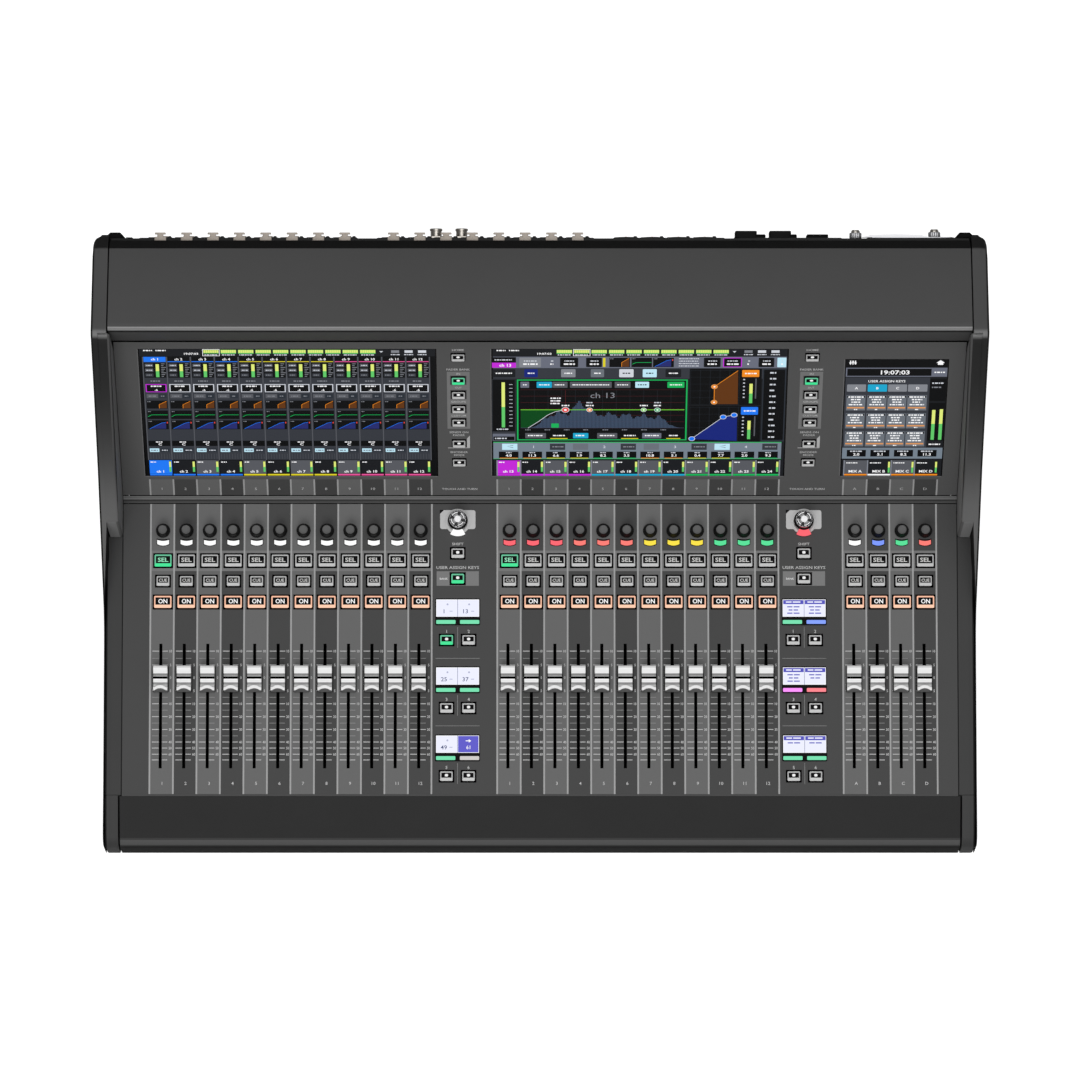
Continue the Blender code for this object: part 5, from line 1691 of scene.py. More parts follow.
def draw_right():
    picture = Picture("right")
    start = bank_span("right")[0]
    x0, x1 = picture.x0 + 0.8, picture.x1 - 0.8
    picture.box(x0, x1, 25.5, 177.4, "ui_dark", 0.5)
    picture.box(x0, x1, 167.6, 177.4, "ui_black", 1)
    for k in range(3):
        picture.box(276.2 + 2.2 * k, 277.2 + 2.2 * k, 171.0, 176.0, "ui_white", 2)
        picture.box(275.6 + 2.2 * k, 277.8 + 2.2 * k, 172.4 + 1.2 * (k % 2), 173.6 + 1.2 * (k % 2), "ui_white", 3)
    picture.area([(353.2, 173.2), (357.0, 176.6), (360.8, 173.2)], "ui_white", 2)
    picture.box(354.6, 359.4, 170.6, 173.2, "ui_white", 2)
    picture.box(x0, x1, 155.2, 166.8, "ui_slate", 1)
    picture.box(x0 + 1.2, x1 - 14.0, 156.4, 165.6, "ui_black", 2)
    picture.word("19:07:03", 317.0, 161.0, 5.2, width=1.12)
    picture.marks(352.0, 361.4, 161.0, "ui_white", 3, 1.6)
    picture.box(x0, 348.5, 62.7, 154.3, "ui_shade", 1)
    picture.word("USER ASSIGN KEYS", 310.0, 149.6, 2.9, width=1.0, weight=0.012)
    columns = ((274.6, 291.6), (293.2, 310.5), (311.4, 328.3), (329.2, 346.6))
    for i, (a, b) in enumerate(columns):
        picture.pill(a, b, 136.0, 145.3, "ui_teal" if i == 1 else "ui_mid", 2)
        picture.word("ABCD"[i], (a + b) / 2, 140.6, 3.0, layer=3)
    for row, (y0, y1) in enumerate(((111.6, 131.4), (88.1, 107.9), (64.5, 84.3))):
        for i, (a, b) in enumerate(columns):
            picture.box(a, b, y0, y1, "ui_key", 2)
            picture.box(a + 0.6, a + 1.8, y1 - 3.2, y1 - 0.6, "ui_black", 3)
            picture.box(b - 1.8, b - 0.6, y1 - 3.2, y1 - 0.6, "ui_black", 3)
            picture.box(a + 0.8, b - 0.8, y0 + 2.6, y0 + 4.4, "ui_amber", 3)
            picture.marks((a + b) / 2 - 1.4, (a + b) / 2 + 1.6, y0 + 1.2, "ui_white", 3, 1.3, row + i)
            for k in range(4):
                inset_by = (1.6, 4.0, 4.6, 2.2)[k]
                picture.marks(a + inset_by, b - inset_by, y1 - 2.4 - 3.3 * k, "ui_white", 3, 1.6, row + i + k)
    picture.box(348.8, x1, 123.6, 152.5, "ui_black", 2)
    picture.marks(350.6, 360.6, 147.0, "ui_light", 3, 1.6)
    picture.marks(350.6, 359.0, 141.6, "ui_mid", 3, 1.6, 2)
    picture.box(348.8, x1, 72.0, 121.4, "ui_black", 2)
    level_meter(picture, 352.0, 355.0, 73.2, 119.6, 0.84)
    level_meter(picture, 358.8, 361.8, 73.2, 119.6, 0.86)
    picture.marks(350.6, 361.0, 67.2, "ui_white", 3, 1.6, 1)
    picture.box(x0, x1, 48.2, 62.5, "ui_band", 1)
    for i in range(4):
        x = start + PITCH * i
        picture.box(x + 2.0, x + 19.2, 51.0, 59.7, "ui_black", 2)
        picture.marks(x + 5.0, x + 15.6, 58.0, "ui_light", 3, 1.5, i)
        picture.word(f"{2 + 3 * i}.{i}", x + 10.6, 54.0, 3.4)
    bands = ("ui_orange", "ui_white", "ui_orange", "ui_orange")
    for i in range(4):
        x = start + PITCH * i
        cell = "ui_grey" if i % 2 == 0 else "ui_dark"
        picture.box(x + 0.5, x + PITCH - 0.5, 28.2, 45.8, cell, 2)
        picture.marks(x + 2.0, x + 12.0, 42.6, "ui_white", 3, 1.2, i)
        picture.word("MIX " + "ABCD"[i], x + 10.4, 31.6, 3.3, layer=3)
        picture.box(x + 0.4, x + PITCH - 0.4, 25.9, 27.9, bands[i], 2)
        if i:
            level_meter(picture, x + PITCH * 0.87, x + PITCH * 0.95, 29.8, 45.0, 0.94, 4)
        picture.box(x - 0.5, x + 0.5, 25.9, 46.2, "ui_frame", 4)
    picture.place()


# ---------------------------------------------------------------- casing


def bent(corners, steps=5):
    """An outline through (y, z, radius) corners, each rounded with its radius."""
    outline = []
    count = len(corners)
    for i, (y, z, radius) in enumerate(corners):
        here = Vector((y, z))
        if radius <= 0:
            outline.append((y, z))
            continue
        before = Vector(corners[i - 1][:2])
        after = Vector(corners[(i + 1) % count][:2])
        back, ahead = (before - here), (after - here)
        turn = math.pi - back.angle(ahead)
        reach = min(radius * math.tan(turn / 2), back.length * 0.48, ahead.length * 0.48)
        start = here + back.normalized() * reach
        end = here + ahead.normalized() * reach
        for k in range(steps + 1):
            t = k / steps
            point = start * (1 - t) ** 2 + here * 2 * t * (1 - t) + end * t ** 2
            outline.append((point.x, point.y))
    return outline


def inset(outline, distance):
    """The outline moved inwards by a distance. It runs counter-clockwise."""
    count = len(outline)
    moved = []
    for i in range(count):
        before, here, after = (Vector(outline[k % count]) for k in (i - 1, i, i + 1))
        into, out = (here - before).normalized(), (after - here).normalized()
        normal = Vector((-into.y, into.x)) + Vector((-out.y, out.x))
        normal.normalize()
        share = max(normal.dot(Vector((-into.y, into.x))), 0.5)
        moved.append((here.x + normal.x * distance / share, here.y + normal.y * distance / share))
    return moved


def slab(shape, outline, x_in, x_out, radius, finish, steps=5):
    """A plate across X whose outer face has a quarter-round rim. x_out may lie on either side."""
    ordered = outline if area_of(outline) > 0 else outline[::-1]
    side = 1 if x_out > x_in else -1
    rings = [(x_in, ordered)]
    for k in range(steps + 1):
        angle = math.pi / 2 * k / steps
        depth = radius * (1 - math.cos(angle))
        ring = inset(ordered, depth) if k else ordered
        rings.append((x_out - side * radius * (1 - math.sin(angle)), ring))
    count = len(ordered)
    points = [(x, y, z) for x, ring in rings for y, z in ring]
    faces = []
    for level in range(len(rings) - 1):
        low, high = level * count, (level + 1) * count
        faces += [(low + i, low + (i + 1) % count, high + (i + 1) % count, high + i) for i in range(count)]
    faces.append(tuple(reversed(range(count))))
    faces.append(tuple(range((len(rings) - 1) * count, len(rings) * count)))
    if side < 0:
        faces = [tuple(reversed(face)) for face in faces]
    shape.add(points, faces, finish)


HOOD_HALF = world_box("rear_hood")[1].x
SKIN_INNER = 390.4
SKIN_OUTER = world_box("right_cheek")[1].x
ARM_HALF = world_box("armrest")[1].x
STEP_Y = -3.0
LIP = (141.2, 318.0, 6.0)
FRONT_Y = world_box("armrest")[0].y


def deck_point(y, height=0.0):
    """The (y, z) of a place on the deck, in world millimetres."""
    point = DECK @ (Vector((0.0, y, height)) * MM)
    return point.y / MM, point.z / MM


HOOD_LINE = ((141.0, 324.0), (212.8, 312.0), (222.2, 303.6))
# Paint round the lip: two painted highlight bands and painted shade below them: (angle from, angle to, finish).
LIP_PAINTED_LIGHT_BANDS = (
    (80, 112, "hood_paint"), (112, 119, "lip_painted_soft_highlight"), (119, 132, "lip_painted_highlight"), (132, 137, "lip_painted_soft_highlight"),
    (137, 147, "lip_painted_highlight"), (147, 157, "lip_painted_halftone"), (157, 171, "lip_painted_shade"),
)


def lip_finish(angle):
    for start, end, finish in LIP_PAINTED_LIGHT_BANDS:
        if start <= angle < end:
            return finish
    return "hood_paint"


def lip_arc(extra=0.0, steps=30):
    """The lip's front quarter from the fascia up to the hood's top, with the finish of every stretch."""
    angles = [170 - 90 * i / steps for i in range(steps + 1)]
    points = [(LIP[0] + (LIP[2] + extra) * math.cos(math.radians(a)),
               LIP[1] + (LIP[2] + extra) * math.sin(math.radians(a))) for a in angles]
    return points, [lip_finish(a - 45 / steps) for a in angles]


def make_hood():
    """The deep hood: upright fascia, rounded lip with painted highlight bands and painted shade, long plain top and a
    rear chamfer painted near black as shade.
    """
    lip, lip_names = lip_arc()
    outer = [(136.4, 280.4), (135.0, 317.8)] + lip + [HOOD_LINE[1], HOOD_LINE[2]]
    names = ["fascia", "lip_painted_shade"] + lip_names[:-1] + ["hood_paint", "hood_chamfer_painted_shade"]
    inner = [(220.4, 302.4), (211.8, 309.8)] + arc(LIP[:2], LIP[2] - 2.0, 80, 170, 12)
    inner += [(138.4, 317.8), (139.6, 280.4)]
    outline = outer + inner
    names += ["seam"] * (len(outline) - len(names))
    hood = Shape()
    count = len(outline)
    turned_round = area_of(outline) < 0
    prism(hood, outline, -HOOD_HALF, HOOD_HALF, "hood_paint")
    for i in range(count):
        hood.finishes[i] = names[(count - 2 - i) % count] if turned_round else names[i]
    place_piece("rear_hood_sheet", hood.mesh("rear_hood_sheet"), WORLD, "console",
                ("rear_hood",))


def wing_outline():
    """Side view of a cheek's outer skin: foot, leaning rear edge, hood line, lip and the long diagonal."""
    return bent([
        (270.0, 9.0, 4), (282.0, 21.0, 4), (226.2, 304.0, 3), (214.0, 312.5, 4), (131.4, 325.9, 8),
        (85.6, 265.0, 0), (34.6, 201.5, 0), (-1.4, 164.0, 0), (-37.4, 126.5, 0), (-70.0, 93.5, 26),
        (-88.0, 84.5, 26), (-107.4, 81.5, 40), (-223.4, 69.0, 60), (FRONT_Y, 64.7, 15), (FRONT_Y, 12.0, 15),
    ])


CORNER_RADIUS = 9.0
WEDGE_START = -4.0
WEDGE_END = -62.0
WEDGE_REACH = 5.0
GAP_SHADOW_WIDTH = 2.2


def corner_back(x):
    """How far the rear edge steps forward at a place across, for the round corner seen from above."""
    into = abs(x) - (SKIN_OUTER - CORNER_RADIUS)
    if into <= 0:
        return 0.0
    return CORNER_RADIUS - math.sqrt(max(CORNER_RADIUS ** 2 - into ** 2, 0.0))


def round_rear_corner(shape):
    """Moves the rear edge of a cheek forward near its outer corner."""
    for i, (x, y, z) in enumerate(shape.points):
        if y > 205.0:
            back = corner_back(x)
            shape.points[i] = (x, y - back, z + 0.162 * back * (z > 250.0))


def taper_wing(shape, side):
    """Thins the wing in front of its step, from its full width down to a narrow rim."""
    for i, (x, y, z) in enumerate(shape.points):
        share = min(max((WEDGE_START - y) / (WEDGE_START - WEDGE_END), 0.0), 1.0)
        inner = SKIN_INNER + WEDGE_REACH * share
        if abs(x) < inner:
            shape.points[i] = (side * inner, y, z)


def cheek_skin(side):
    """The outer skin, its inner face painted black as shade and its outer edge and low front part a dark rim of
    painted shade.
    """
    skin = Shape()
    outline = refine(wing_outline(), 12.0)
    slab(skin, outline, side * SKIN_INNER, side * SKIN_OUTER, 3.0, "cheek_paint", 7)
    for i, face in enumerate(skin.faces):
        corners = [skin.points[p] for p in face]
        if all(abs(abs(p[0]) - SKIN_INNER) < 0.01 for p in corners):
            skin.finishes[i] = "cheek_inner_painted_shade"
        elif min(abs(p[0]) for p in corners) > SKIN_OUTER - 2.2 and max(p[2] for p in corners) > 60.0:
            skin.finishes[i] = "rim_dark"
        elif max(p[1] for p in corners) < WEDGE_END + 0.5 and max(p[2] for p in corners) > 30.0:
            skin.finishes[i] = "rim_dark"
    round_rear_corner(skin)
    taper_wing(skin, side)
    return skin


def refine(outline, longest):
    """The outline with points added so that no stretch is longer than a length."""
    fine = []
    for (ay, az), (by, bz) in zip(outline, outline[1:] + outline[:1]):
        parts = max(1, math.ceil(math.hypot(by - ay, bz - az) / longest))
        fine += [(ay + (by - ay) * k / parts, az + (bz - az) * k / parts) for k in range(parts)]
    return fine


def cheek_core(side):
    """The upper body between the skin and the panel: its inner edge a softened rim with a painted highlight, its inner
    wall and front step lightened with painted light.
    """
    seam = DECK_HALF + 0.6
    core = Shape()
    edge = [(STEP_Y, 13.0, 0), (133.0, 13.0, 0), (133.0, 321.5, 0), (131.0, 322.4, 3), (85.6, 264.8, 0),
            (34.6, 201.3, 0), (STEP_Y, 162.3, 2)]
    slab(core, bent(edge), side * (SKIN_INNER + 0.4), side * seam, 2.4, "cheek_paint")
    for i, face in enumerate(core.faces):
        corners = [core.points[p] for p in face]
        if max(abs(p[0]) for p in corners) < seam + 0.1:
            core.finishes[i] = "cheek_wall_painted_light"
        elif max(abs(p[0]) for p in corners) < seam + 2.5 and min(p[1] for p in corners) > 34.0:
            core.finishes[i] = "cheek_rim_painted_highlight"
        if max(p[1] for p in corners) < STEP_Y + 0.1:
            core.finishes[i] = "step_wall_painted_light"
    back = [(132.6, 9.0, 0), (270.0, 9.0, 4), (282.0, 21.0, 4), (226.2, 304.0, 3), (214.0, 312.5, 4),
            (132.6, 325.7, 0)]
    slab(core, refine(bent(back), 12.0), side * (SKIN_INNER + 0.4), side * (HOOD_HALF + 1.0), 0.4, "cheek_paint")
    round_rear_corner(core)
    return core


RAIL_OUTER = 394.2


def paint_edge_shade_beyond(shape, limit):
    """Paints the faces further out than a limit with the painted shade of the dark rim."""
    for i, face in enumerate(shape.faces):
        if min(abs(shape.points[p][0]) for p in face) > limit:
            shape.finishes[i] = "rim_dark"


def make_wing_gap_shadow(name, side):
    """A black sheet of painted shadow in the gap between the wing and the rail, which follows the wing as it thins
    out.
    """
    gap_shadow = Shape()
    inner = SKIN_INNER - GAP_SHADOW_WIDTH
    (rear_y, rear_z), (end_y, end_z) = deck_point(-8.0, 0.12), deck_point(WEDGE_END - 6.0, 0.12)
    front_y, front_z = deck_point(-DECK_LENGTH, 0.12)
    reach = WEDGE_REACH - 1.6
    corners = [(inner, rear_y, rear_z), (inner + GAP_SHADOW_WIDTH + 0.4, rear_y, rear_z),
               (inner + GAP_SHADOW_WIDTH + reach, end_y, end_z), (inner + reach, end_y, end_z)]
    faces = [(0, 1, 2, 3)]
    if side > 0:
        faces = [tuple(reversed(face)) for face in faces]
    gap_shadow.add([(side * x, y, z) for x, y, z in corners], faces, "slot_black")
    place_piece(f"{name}_gap", gap_shadow.mesh(f"{name}_gap"), WORLD, "console")


def make_cheek(side):
    """A moulded side in four bodies: outer skin, upper core, low rail beside the deck, front nose."""
    name = "left_cheek" if side < 0 else "right_cheek"
    seam = DECK_HALF + 0.6
    place_piece(f"{name}_skin", cheek_skin(side).mesh(f"{name}_skin", 50), WORLD, "console",
                (name,))
    place_piece(f"{name}_core", cheek_core(side).mesh(f"{name}_core", 50), WORLD, "console")
    low = Shape()
    front = deck_point(-DECK_LENGTH - 1.0)
    rear = deck_point(-24.0)
    outline = bent([(STEP_Y + 0.2, 13.0, 0), (STEP_Y + 0.2, rear[1] + 0.2, 0), (*front, 1.5), (front[0], 13.0, 0)])
    slab(low, outline, side * (SKIN_INNER - 0.6), side * seam, 0.8, "rail_paint")
    outer = outline
    slab(low, outer, side * (SKIN_INNER - 0.7), side * RAIL_OUTER, 1.4, "rail_paint")
    paint_edge_shade_beyond(low, RAIL_OUTER - 1.6)
    place_piece(f"{name}_rail", low.mesh(f"{name}_rail", 50), WORLD, "console")
    make_wing_gap_shadow(name, side)
    nose = Shape()
    corners = [(front[0] - 0.1, 13.0, 0), (front[0] - 0.1, front[1], 0), (FRONT_Y, 64.4, 15),
               (FRONT_Y, 12.4, 15)]
    slab(nose, bent(corners), side * (SKIN_INNER - 0.6), side * (ARM_HALF - 0.6), 0.5, "rail_paint")
    slab(nose, bent(corners), side * (SKIN_INNER - 0.7), side * RAIL_OUTER, 1.4, "rail_paint")
    paint_edge_shade_beyond(nose, RAIL_OUTER - 1.6)
    place_piece(f"{name}_nose", nose.mesh(f"{name}_nose", 50), WORLD, "console")


# Finishes along the armrest's outline, counted from its rear edge: a painted highlight band across the nose and the
# painted shade below it.
NOSE_PAINTED_LIGHT = {5: "arm_painted_soft_highlight", 6: "arm_painted_highlight", 7: "arm_painted_highlight", 8: "arm_painted_highlight", 9: "arm_painted_soft_highlight"}
NOSE_PAINTED_SHADE = (10, 22)
ARM_GAP = 1.8


def make_armrest():
    """The padded armrest: a shell with a rounded nose under a pebbled skin, with a painted highlight band on the nose
    and painted shade under it.
    """
    rear = deck_point(-DECK_LENGTH - 1.6)
    nose = (FRONT_Y + 15.0, 50.0)
    chin = (FRONT_Y + 15.0, 27.0)
    outer = [rear] + arc(nose, 15.0, 90, 180, 12) + arc(chin, 15.0, 180, 270, 8) + [(-244.0, 12.0)]
    inner = [(-244.0, 15.0)] + arc(chin, 12.0, 270, 180, 8) + arc(nose, 12.0, 180, 90, 12)
    inner += [(rear[0], rear[1] - 3.0)]
    pad = Shape()
    outline = outer + inner
    prism(pad, outline, -ARM_HALF + ARM_GAP, ARM_HALF - ARM_GAP, "armrest_skin")
    count = len(outline)
    backwards = area_of(outline) < 0
    for i in range(count):
        start = (count - 2 - i) % count if backwards else i
        if start in NOSE_PAINTED_LIGHT:
            pad.finishes[i] = NOSE_PAINTED_LIGHT[start]
        elif NOSE_PAINTED_SHADE[0] <= start < NOSE_PAINTED_SHADE[1]:
            pad.finishes[i] = "arm_painted_shade"
    place_piece("armrest_pad", pad.mesh("armrest_pad"), WORLD, "console", ("armrest",),
                bevel=0.8, angle=50)


def make_seams():
    """Dark shadow gaps where the casing's pieces meet."""
    gaps = Shape()
    for side in (-1, 1):
        x0, x1 = sorted((side * (HOOD_HALF - 0.1), side * (HOOD_HALF + 0.6)))
        line = [(135.6, 282.0), (134.6, 317.6)] + arc(LIP[:2], LIP[2] + 0.05, 172, 80, 8)
        line += [(212.8, 312.05), (222.2, 303.6), (220.0, 300.0), (140.0, 318.0), (139.0, 282.0)]
        prism(gaps, line, x0, x1, "seam")
        x0, x1 = sorted((side * (DECK_HALF - 0.1), side * (DECK_HALF + 0.7)))
        rear, front = deck_point(-2.0, 0.05), deck_point(-DECK_LENGTH, 0.05)
        prism(gaps, [front, (front[0], front[1] - 4.0), (rear[0], rear[1] - 4.0), rear], x0, x1, "rim_dark")
        x0, x1 = sorted((side * (ARM_HALF - 0.1), side * (ARM_HALF + 0.8)))
        rear = deck_point(-DECK_LENGTH - 1.0, -0.2)
        line = [rear] + arc((FRONT_Y + 15.0, 50.0), 14.8, 90, 180, 10) + [(FRONT_Y + 1.0, 40.0), (rear[0], 40.0)]
        prism(gaps, line, x0, x1, "seam")
    rear, front = deck_point(-DECK_LENGTH + 0.2, -0.15), deck_point(-DECK_LENGTH - 1.8, -0.15)
    prism(gaps, [front, (front[0], front[1] - 3.0), (rear[0], rear[1] - 3.0), rear], -DECK_HALF, DECK_HALF,
          "deck_margin")
    place_piece("casing_seams", gaps.mesh("casing_seams"), WORLD, "console")
    # Black sheets of painted shade deep in the fader slots.
    rails = Shape()
    for bank in BANKS:
        for x in STRIPS[bank]:
            centre = x + SLOT_OFFSET
            flat(rails, rectangle(centre - 3.0, centre + 3.0, SLOT_Y[0] - 2.0, SLOT_Y[1] + 2.0), -4.6, "slot_black")
    place_piece("slot_painted_shade", rails.mesh("slot_painted_shade"), DECK, "console")


def add_screw(shape, x, y, z, radius=2.6):
    """A domed screw head with a hexagon socket."""
    turned(shape, x, y, [(radius, z), (radius, z + 0.5), (radius * 0.8, z + 1.1), (radius * 0.55, z + 1.3)],
           24, "screw")
    flat(shape, circle(x, y, radius * 0.42, 6), z + 1.34, "seam")


# ---------------------------------------------------------------- rear


def rear_matrix():
    """The rear panel's frame seen from behind: x to the world's left, y up the panel from its foot."""
    points = [v.co / MM for v in frame["nodes"]["rear_panel"].data.vertices]
    top_z = max(p.z for p in points)
    top = max((p for p in points if p.z > top_z - 0.5), key=lambda p: p.y)
    foot_y = max(p.y for p in points)
    foot = max((p for p in points if p.y > foot_y - 0.5), key=lambda p: p.y)
    up = Vector((0.0, top.y - foot.y, top.z - foot.z))
    matrix = Matrix.Identity(4)
    across = Vector((-1.0, 0.0, 0.0))
    up_axis = up.normalized()
    for i, column in enumerate((across, up_axis, across.cross(up_axis))):
        for row in range(3):
            matrix[row][i] = column[row]
    return Matrix.Translation(Vector((0.0, foot.y, foot.z)) * MM) @ matrix, up.length


REAR, REAR_LENGTH = rear_matrix()
BLOCKS = ((-356.0, -162.0), (-145.0, 48.0), (65.0, 164.0), (176.0, 268.0), (290.0, 370.0))
BLOCK_OUT = 0.6
BLOCK_TOP = REAR_LENGTH - 0.3
BLOCK_LOW = REAR_LENGTH - 34.0
SOCKET_Y = REAR_LENGTH - 14.6
SOCKET_PITCH = 23.4
INPUT_ROWS = ((-337.2, 8), (-130.2, 8))
OUTPUT_ROW = (76.4, 4)


def make_rear_panel():
    """The leaning connector panel with its raised socket rows and vent slots."""
    sheet = Shape()
    block(sheet, -HOOD_HALF, HOOD_HALF, 0.0, REAR_LENGTH, -2.0, 0.0, "black_steel", radius=1.0, edge=0.2)
    for x0, x1 in BLOCKS:
        block(sheet, -x1, -x0, BLOCK_LOW, BLOCK_TOP, -1.0, BLOCK_OUT, "black_steel", radius=2.0, edge=0.4)
    place_piece("rear_panel_sheet", sheet.mesh("rear_panel_sheet"), REAR, "console",
                ("rear_panel",))
    vents = Shape()
    for centre in (-250.0, 0.0, 250.0):
        for column in range(14):
            for row in range(4):
                x = centre + (column - 6.5) * 8.0
                y = 34.0 + row * 15.0
                block(vents, x - 1.6, x + 1.6, y, y + 11.0, -0.2, 0.15, "seam", radius=1.5, edge=0.1)
    place_piece("rear_vents", vents.mesh("rear_vents"), REAR, "console")


def add_xlr_female(shape, x, y, z):
    """A three-pin socket: flange with two screws, ring, sunk face with three contacts and a latch tab."""
    block(shape, x - 10.6, x + 10.6, y - 14.0, y + 14.0, z, z + 0.5, "black_plastic", radius=2.0, edge=0.3)
    ring = [(9.4, z + 0.4), (9.4, z + 0.9), (9.0, z + 1.1), (7.9, z + 1.1), (7.8, z + 0.6)]
    turned(shape, x, y - 1.5, ring, 32, "black_plastic", top_finish="seam")
    for turn in (90, 210, 330):
        angle = math.radians(turn)
        turned(shape, x + 4.1 * math.cos(angle), y - 1.5 + 4.1 * math.sin(angle),
               [(1.3, z + 0.5), (1.3, z + 1.0), (0.9, z + 1.0), (0.8, z + 0.7)], 12, "nickel")
    for sx, sy in ((-8.2, 11.6), (8.2, -11.6)):
        add_screw(shape, x + sx, y + sy, z + 0.3, 1.6)
    for half, z0, z1 in ((5.2, -2.4, 0.8), (2.7, 0.6, 3.2), (4.8, 3.0, 4.6)):
        block(shape, x - half, x + half, y + 11.4, y + 14.9, z + z0, z + z1, "latch", radius=0.4, edge=0.3)


def add_xlr_male(shape, x, y, z):
    """A three-pin plug: flange, shallow ring and gold pins."""
    block(shape, x - 10.6, x + 10.6, y - 14.0, y + 14.0, z, z + 0.5, "black_plastic", radius=2.0, edge=0.5)
    ring = [(9.2, z + 0.4), (9.2, z + 0.9), (8.9, z + 1.1), (7.6, z + 1.1), (7.5, z + 0.6)]
    turned(shape, x, y, ring, 32, "black_plastic", top_finish="seam")
    for turn in (90, 210, 330):
        angle = math.radians(turn)
        turned(shape, x + 4.1 * math.cos(angle), y + 4.1 * math.sin(angle),
               [(1.2, z + 0.5), (1.2, z + 1.2), (0.7, z + 1.6)], 12, "gold")
    for sx, sy in ((-8.2, 11.6), (8.2, -11.6)):
        add_screw(shape, x + sx, y + sy, z + 0.3, 1.6)


def add_coaxial(shape, x, y, z):
    """A bayonet coaxial socket: hexagon nut, barrel, collar and centre contact."""
    turned(shape, x, y, [(7.4, z), (7.4, z + 2.0), (6.8, z + 2.4)], 6, "nickel")
    barrel = [(4.9, z + 1.8), (4.9, z + 7.0), (5.6, z + 7.2), (5.6, z + 8.8), (5.2, z + 9.2), (4.2, z + 9.2),
              (4.1, z + 4.0)]
    turned(shape, x, y, barrel, 32, "nickel", top_finish="seam")
    turned(shape, x, y, [(0.9, z + 4.0), (0.9, z + 7.0), (0.5, z + 7.6)], 10, "gold")


NETWORK_OUT = 6.2


def add_network(shape, x, y, z):
    """A locking network socket: flange, square mouth, contacts and a push tab."""
    block(shape, x - 10.6, x + 10.6, y - 14.0, y + 14.0, z, z + 0.5, "black_plastic", radius=2.0, edge=0.5)
    top = z + NETWORK_OUT
    block(shape, x - 9.6, x + 9.6, y - 9.6, y + 13.6, z + 0.4, top, "black_plastic", radius=1.5, edge=0.6)
    block(shape, x - 6.2, x + 6.2, y - 5.6, y + 4.0, top - 0.1, top + 0.1, "seam", radius=0.5, edge=0.05)
    block(shape, x - 2.2, x + 2.2, y - 7.4, y - 5.4, top - 0.1, top + 0.1, "seam", radius=0.4, edge=0.05)
    for i in range(8):
        block(shape, x - 4.4 + 1.2 * i, x - 3.9 + 1.2 * i, y + 1.0, y + 3.8, top, top + 0.25, "gold", 0.1, 0.05)


def add_mains_inlet(shape, x, y, z):
    """A mains inlet: bezel, sunk mouth and three flat pins."""
    block(shape, x - 15.0, x + 15.0, y - 12.0, y + 12.0, z, z + 2.2, "black_plastic", radius=2.5, edge=0.8)
    block(shape, x - 12.4, x + 12.4, y - 8.6, y + 8.6, z + 2.1, z + 2.4, "seam", radius=3.0, edge=0.1)
    for dx, dy in ((-7.0, -2.0), (7.0, -2.0), (0.0, 3.4)):
        block(shape, x + dx - 1.0, x + dx + 1.0, y + dy - 2.4, y + dy + 2.4, z + 2.2, z + 4.6, "nickel", 0.3, 0.3)
    for dx in (-20.0, 20.0):
        add_screw(shape, x + dx, y, z, 2.0)


def add_thumbscrew(shape, x, y, z):
    """A knurled thumbscrew with a domed, slotted top."""
    profile = [(5.0, z), (5.4, z + 0.4), (5.4, z + 4.6), (4.9, z + 5.2)]
    turned(shape, x, y, profile, 72, "silver", flutes=24, depth=0.4)
    turned(shape, x, y, [(3.9, z + 5.0), (3.9, z + 6.4), (3.2, z + 7.4), (2.0, z + 7.8)], 32, "nickel")
    block(shape, x - 3.0, x + 3.0, y - 0.4, y + 0.4, z + 7.6, z + 7.85, "seam", 0.2, 0.02)


def socket_row(name, draw, first, count, y, z, pitch=SOCKET_PITCH):
    row = Shape()
    for i in range(count):
        draw(row, -(first + pitch * i), y, z)
    place_piece(name, row.mesh(name), REAR, "console")


def make_sockets():
    for number, (first, count) in enumerate(INPUT_ROWS, start=1):
        socket_row(f"input_sockets_upper_{number}", add_xlr_female, first, count, SOCKET_Y, BLOCK_OUT)
        socket_row(f"input_sockets_lower_{number}", add_xlr_female, first, count, SOCKET_Y - 38.0, 0.0)
    first, count = OUTPUT_ROW
    socket_row("output_plugs_upper", add_xlr_male, first, count, SOCKET_Y, BLOCK_OUT)
    socket_row("output_plugs_lower", add_xlr_male, first, count, SOCKET_Y - 38.0, 0.0)
    socket_row("clock_sockets", add_coaxial, -92.4, 2, REAR_LENGTH - 10.0, 0.0, 22.7)
    socket_row("network_sockets", add_network, 183.0, 2, SOCKET_Y, BLOCK_OUT, 30.4)
    socket_row("control_sockets", add_network, 192.0, 3, SOCKET_Y - 38.0, 0.0, 28.0)
    socket_row("mains_inlets", add_mains_inlet, 250.0, 2, 46.0, 0.0, 62.0)


CARD_SLOT = (-366.0, -294.0)
BAR_ARCH = ((-346.0, 0.7), (-338.0, 2.6), (-316.0, 3.2), (-294.0, 2.6), (-286.0, 0.7))


def make_card_slot():
    """A blank cover over the expansion slot, with an arched pull bar and two thumbscrews."""
    slot = Shape()
    low, high = SOCKET_Y - 14.0, SOCKET_Y + 14.0
    block(slot, *CARD_SLOT, low, high, BLOCK_OUT, BLOCK_OUT + 0.8, "silver", radius=1.5, edge=0.3)
    upper = [(x, z + BLOCK_OUT) for x, z in BAR_ARCH]
    lower = [(x, BLOCK_OUT + 0.4) for x, _ in BAR_ARCH[::-1]]
    outline = upper + lower
    rings = [[(x, y, z) for x, z in outline] for y in (high - 6.0, high)]
    loft(slot, rings[::-1], "silver")
    for x in (-280.4, -350.4):
        add_thumbscrew(slot, x, SOCKET_Y + 8.0, BLOCK_OUT if x < -300 else 0.0)
    place_piece("card_slot_cover", slot.mesh("card_slot_cover"), REAR, "console")


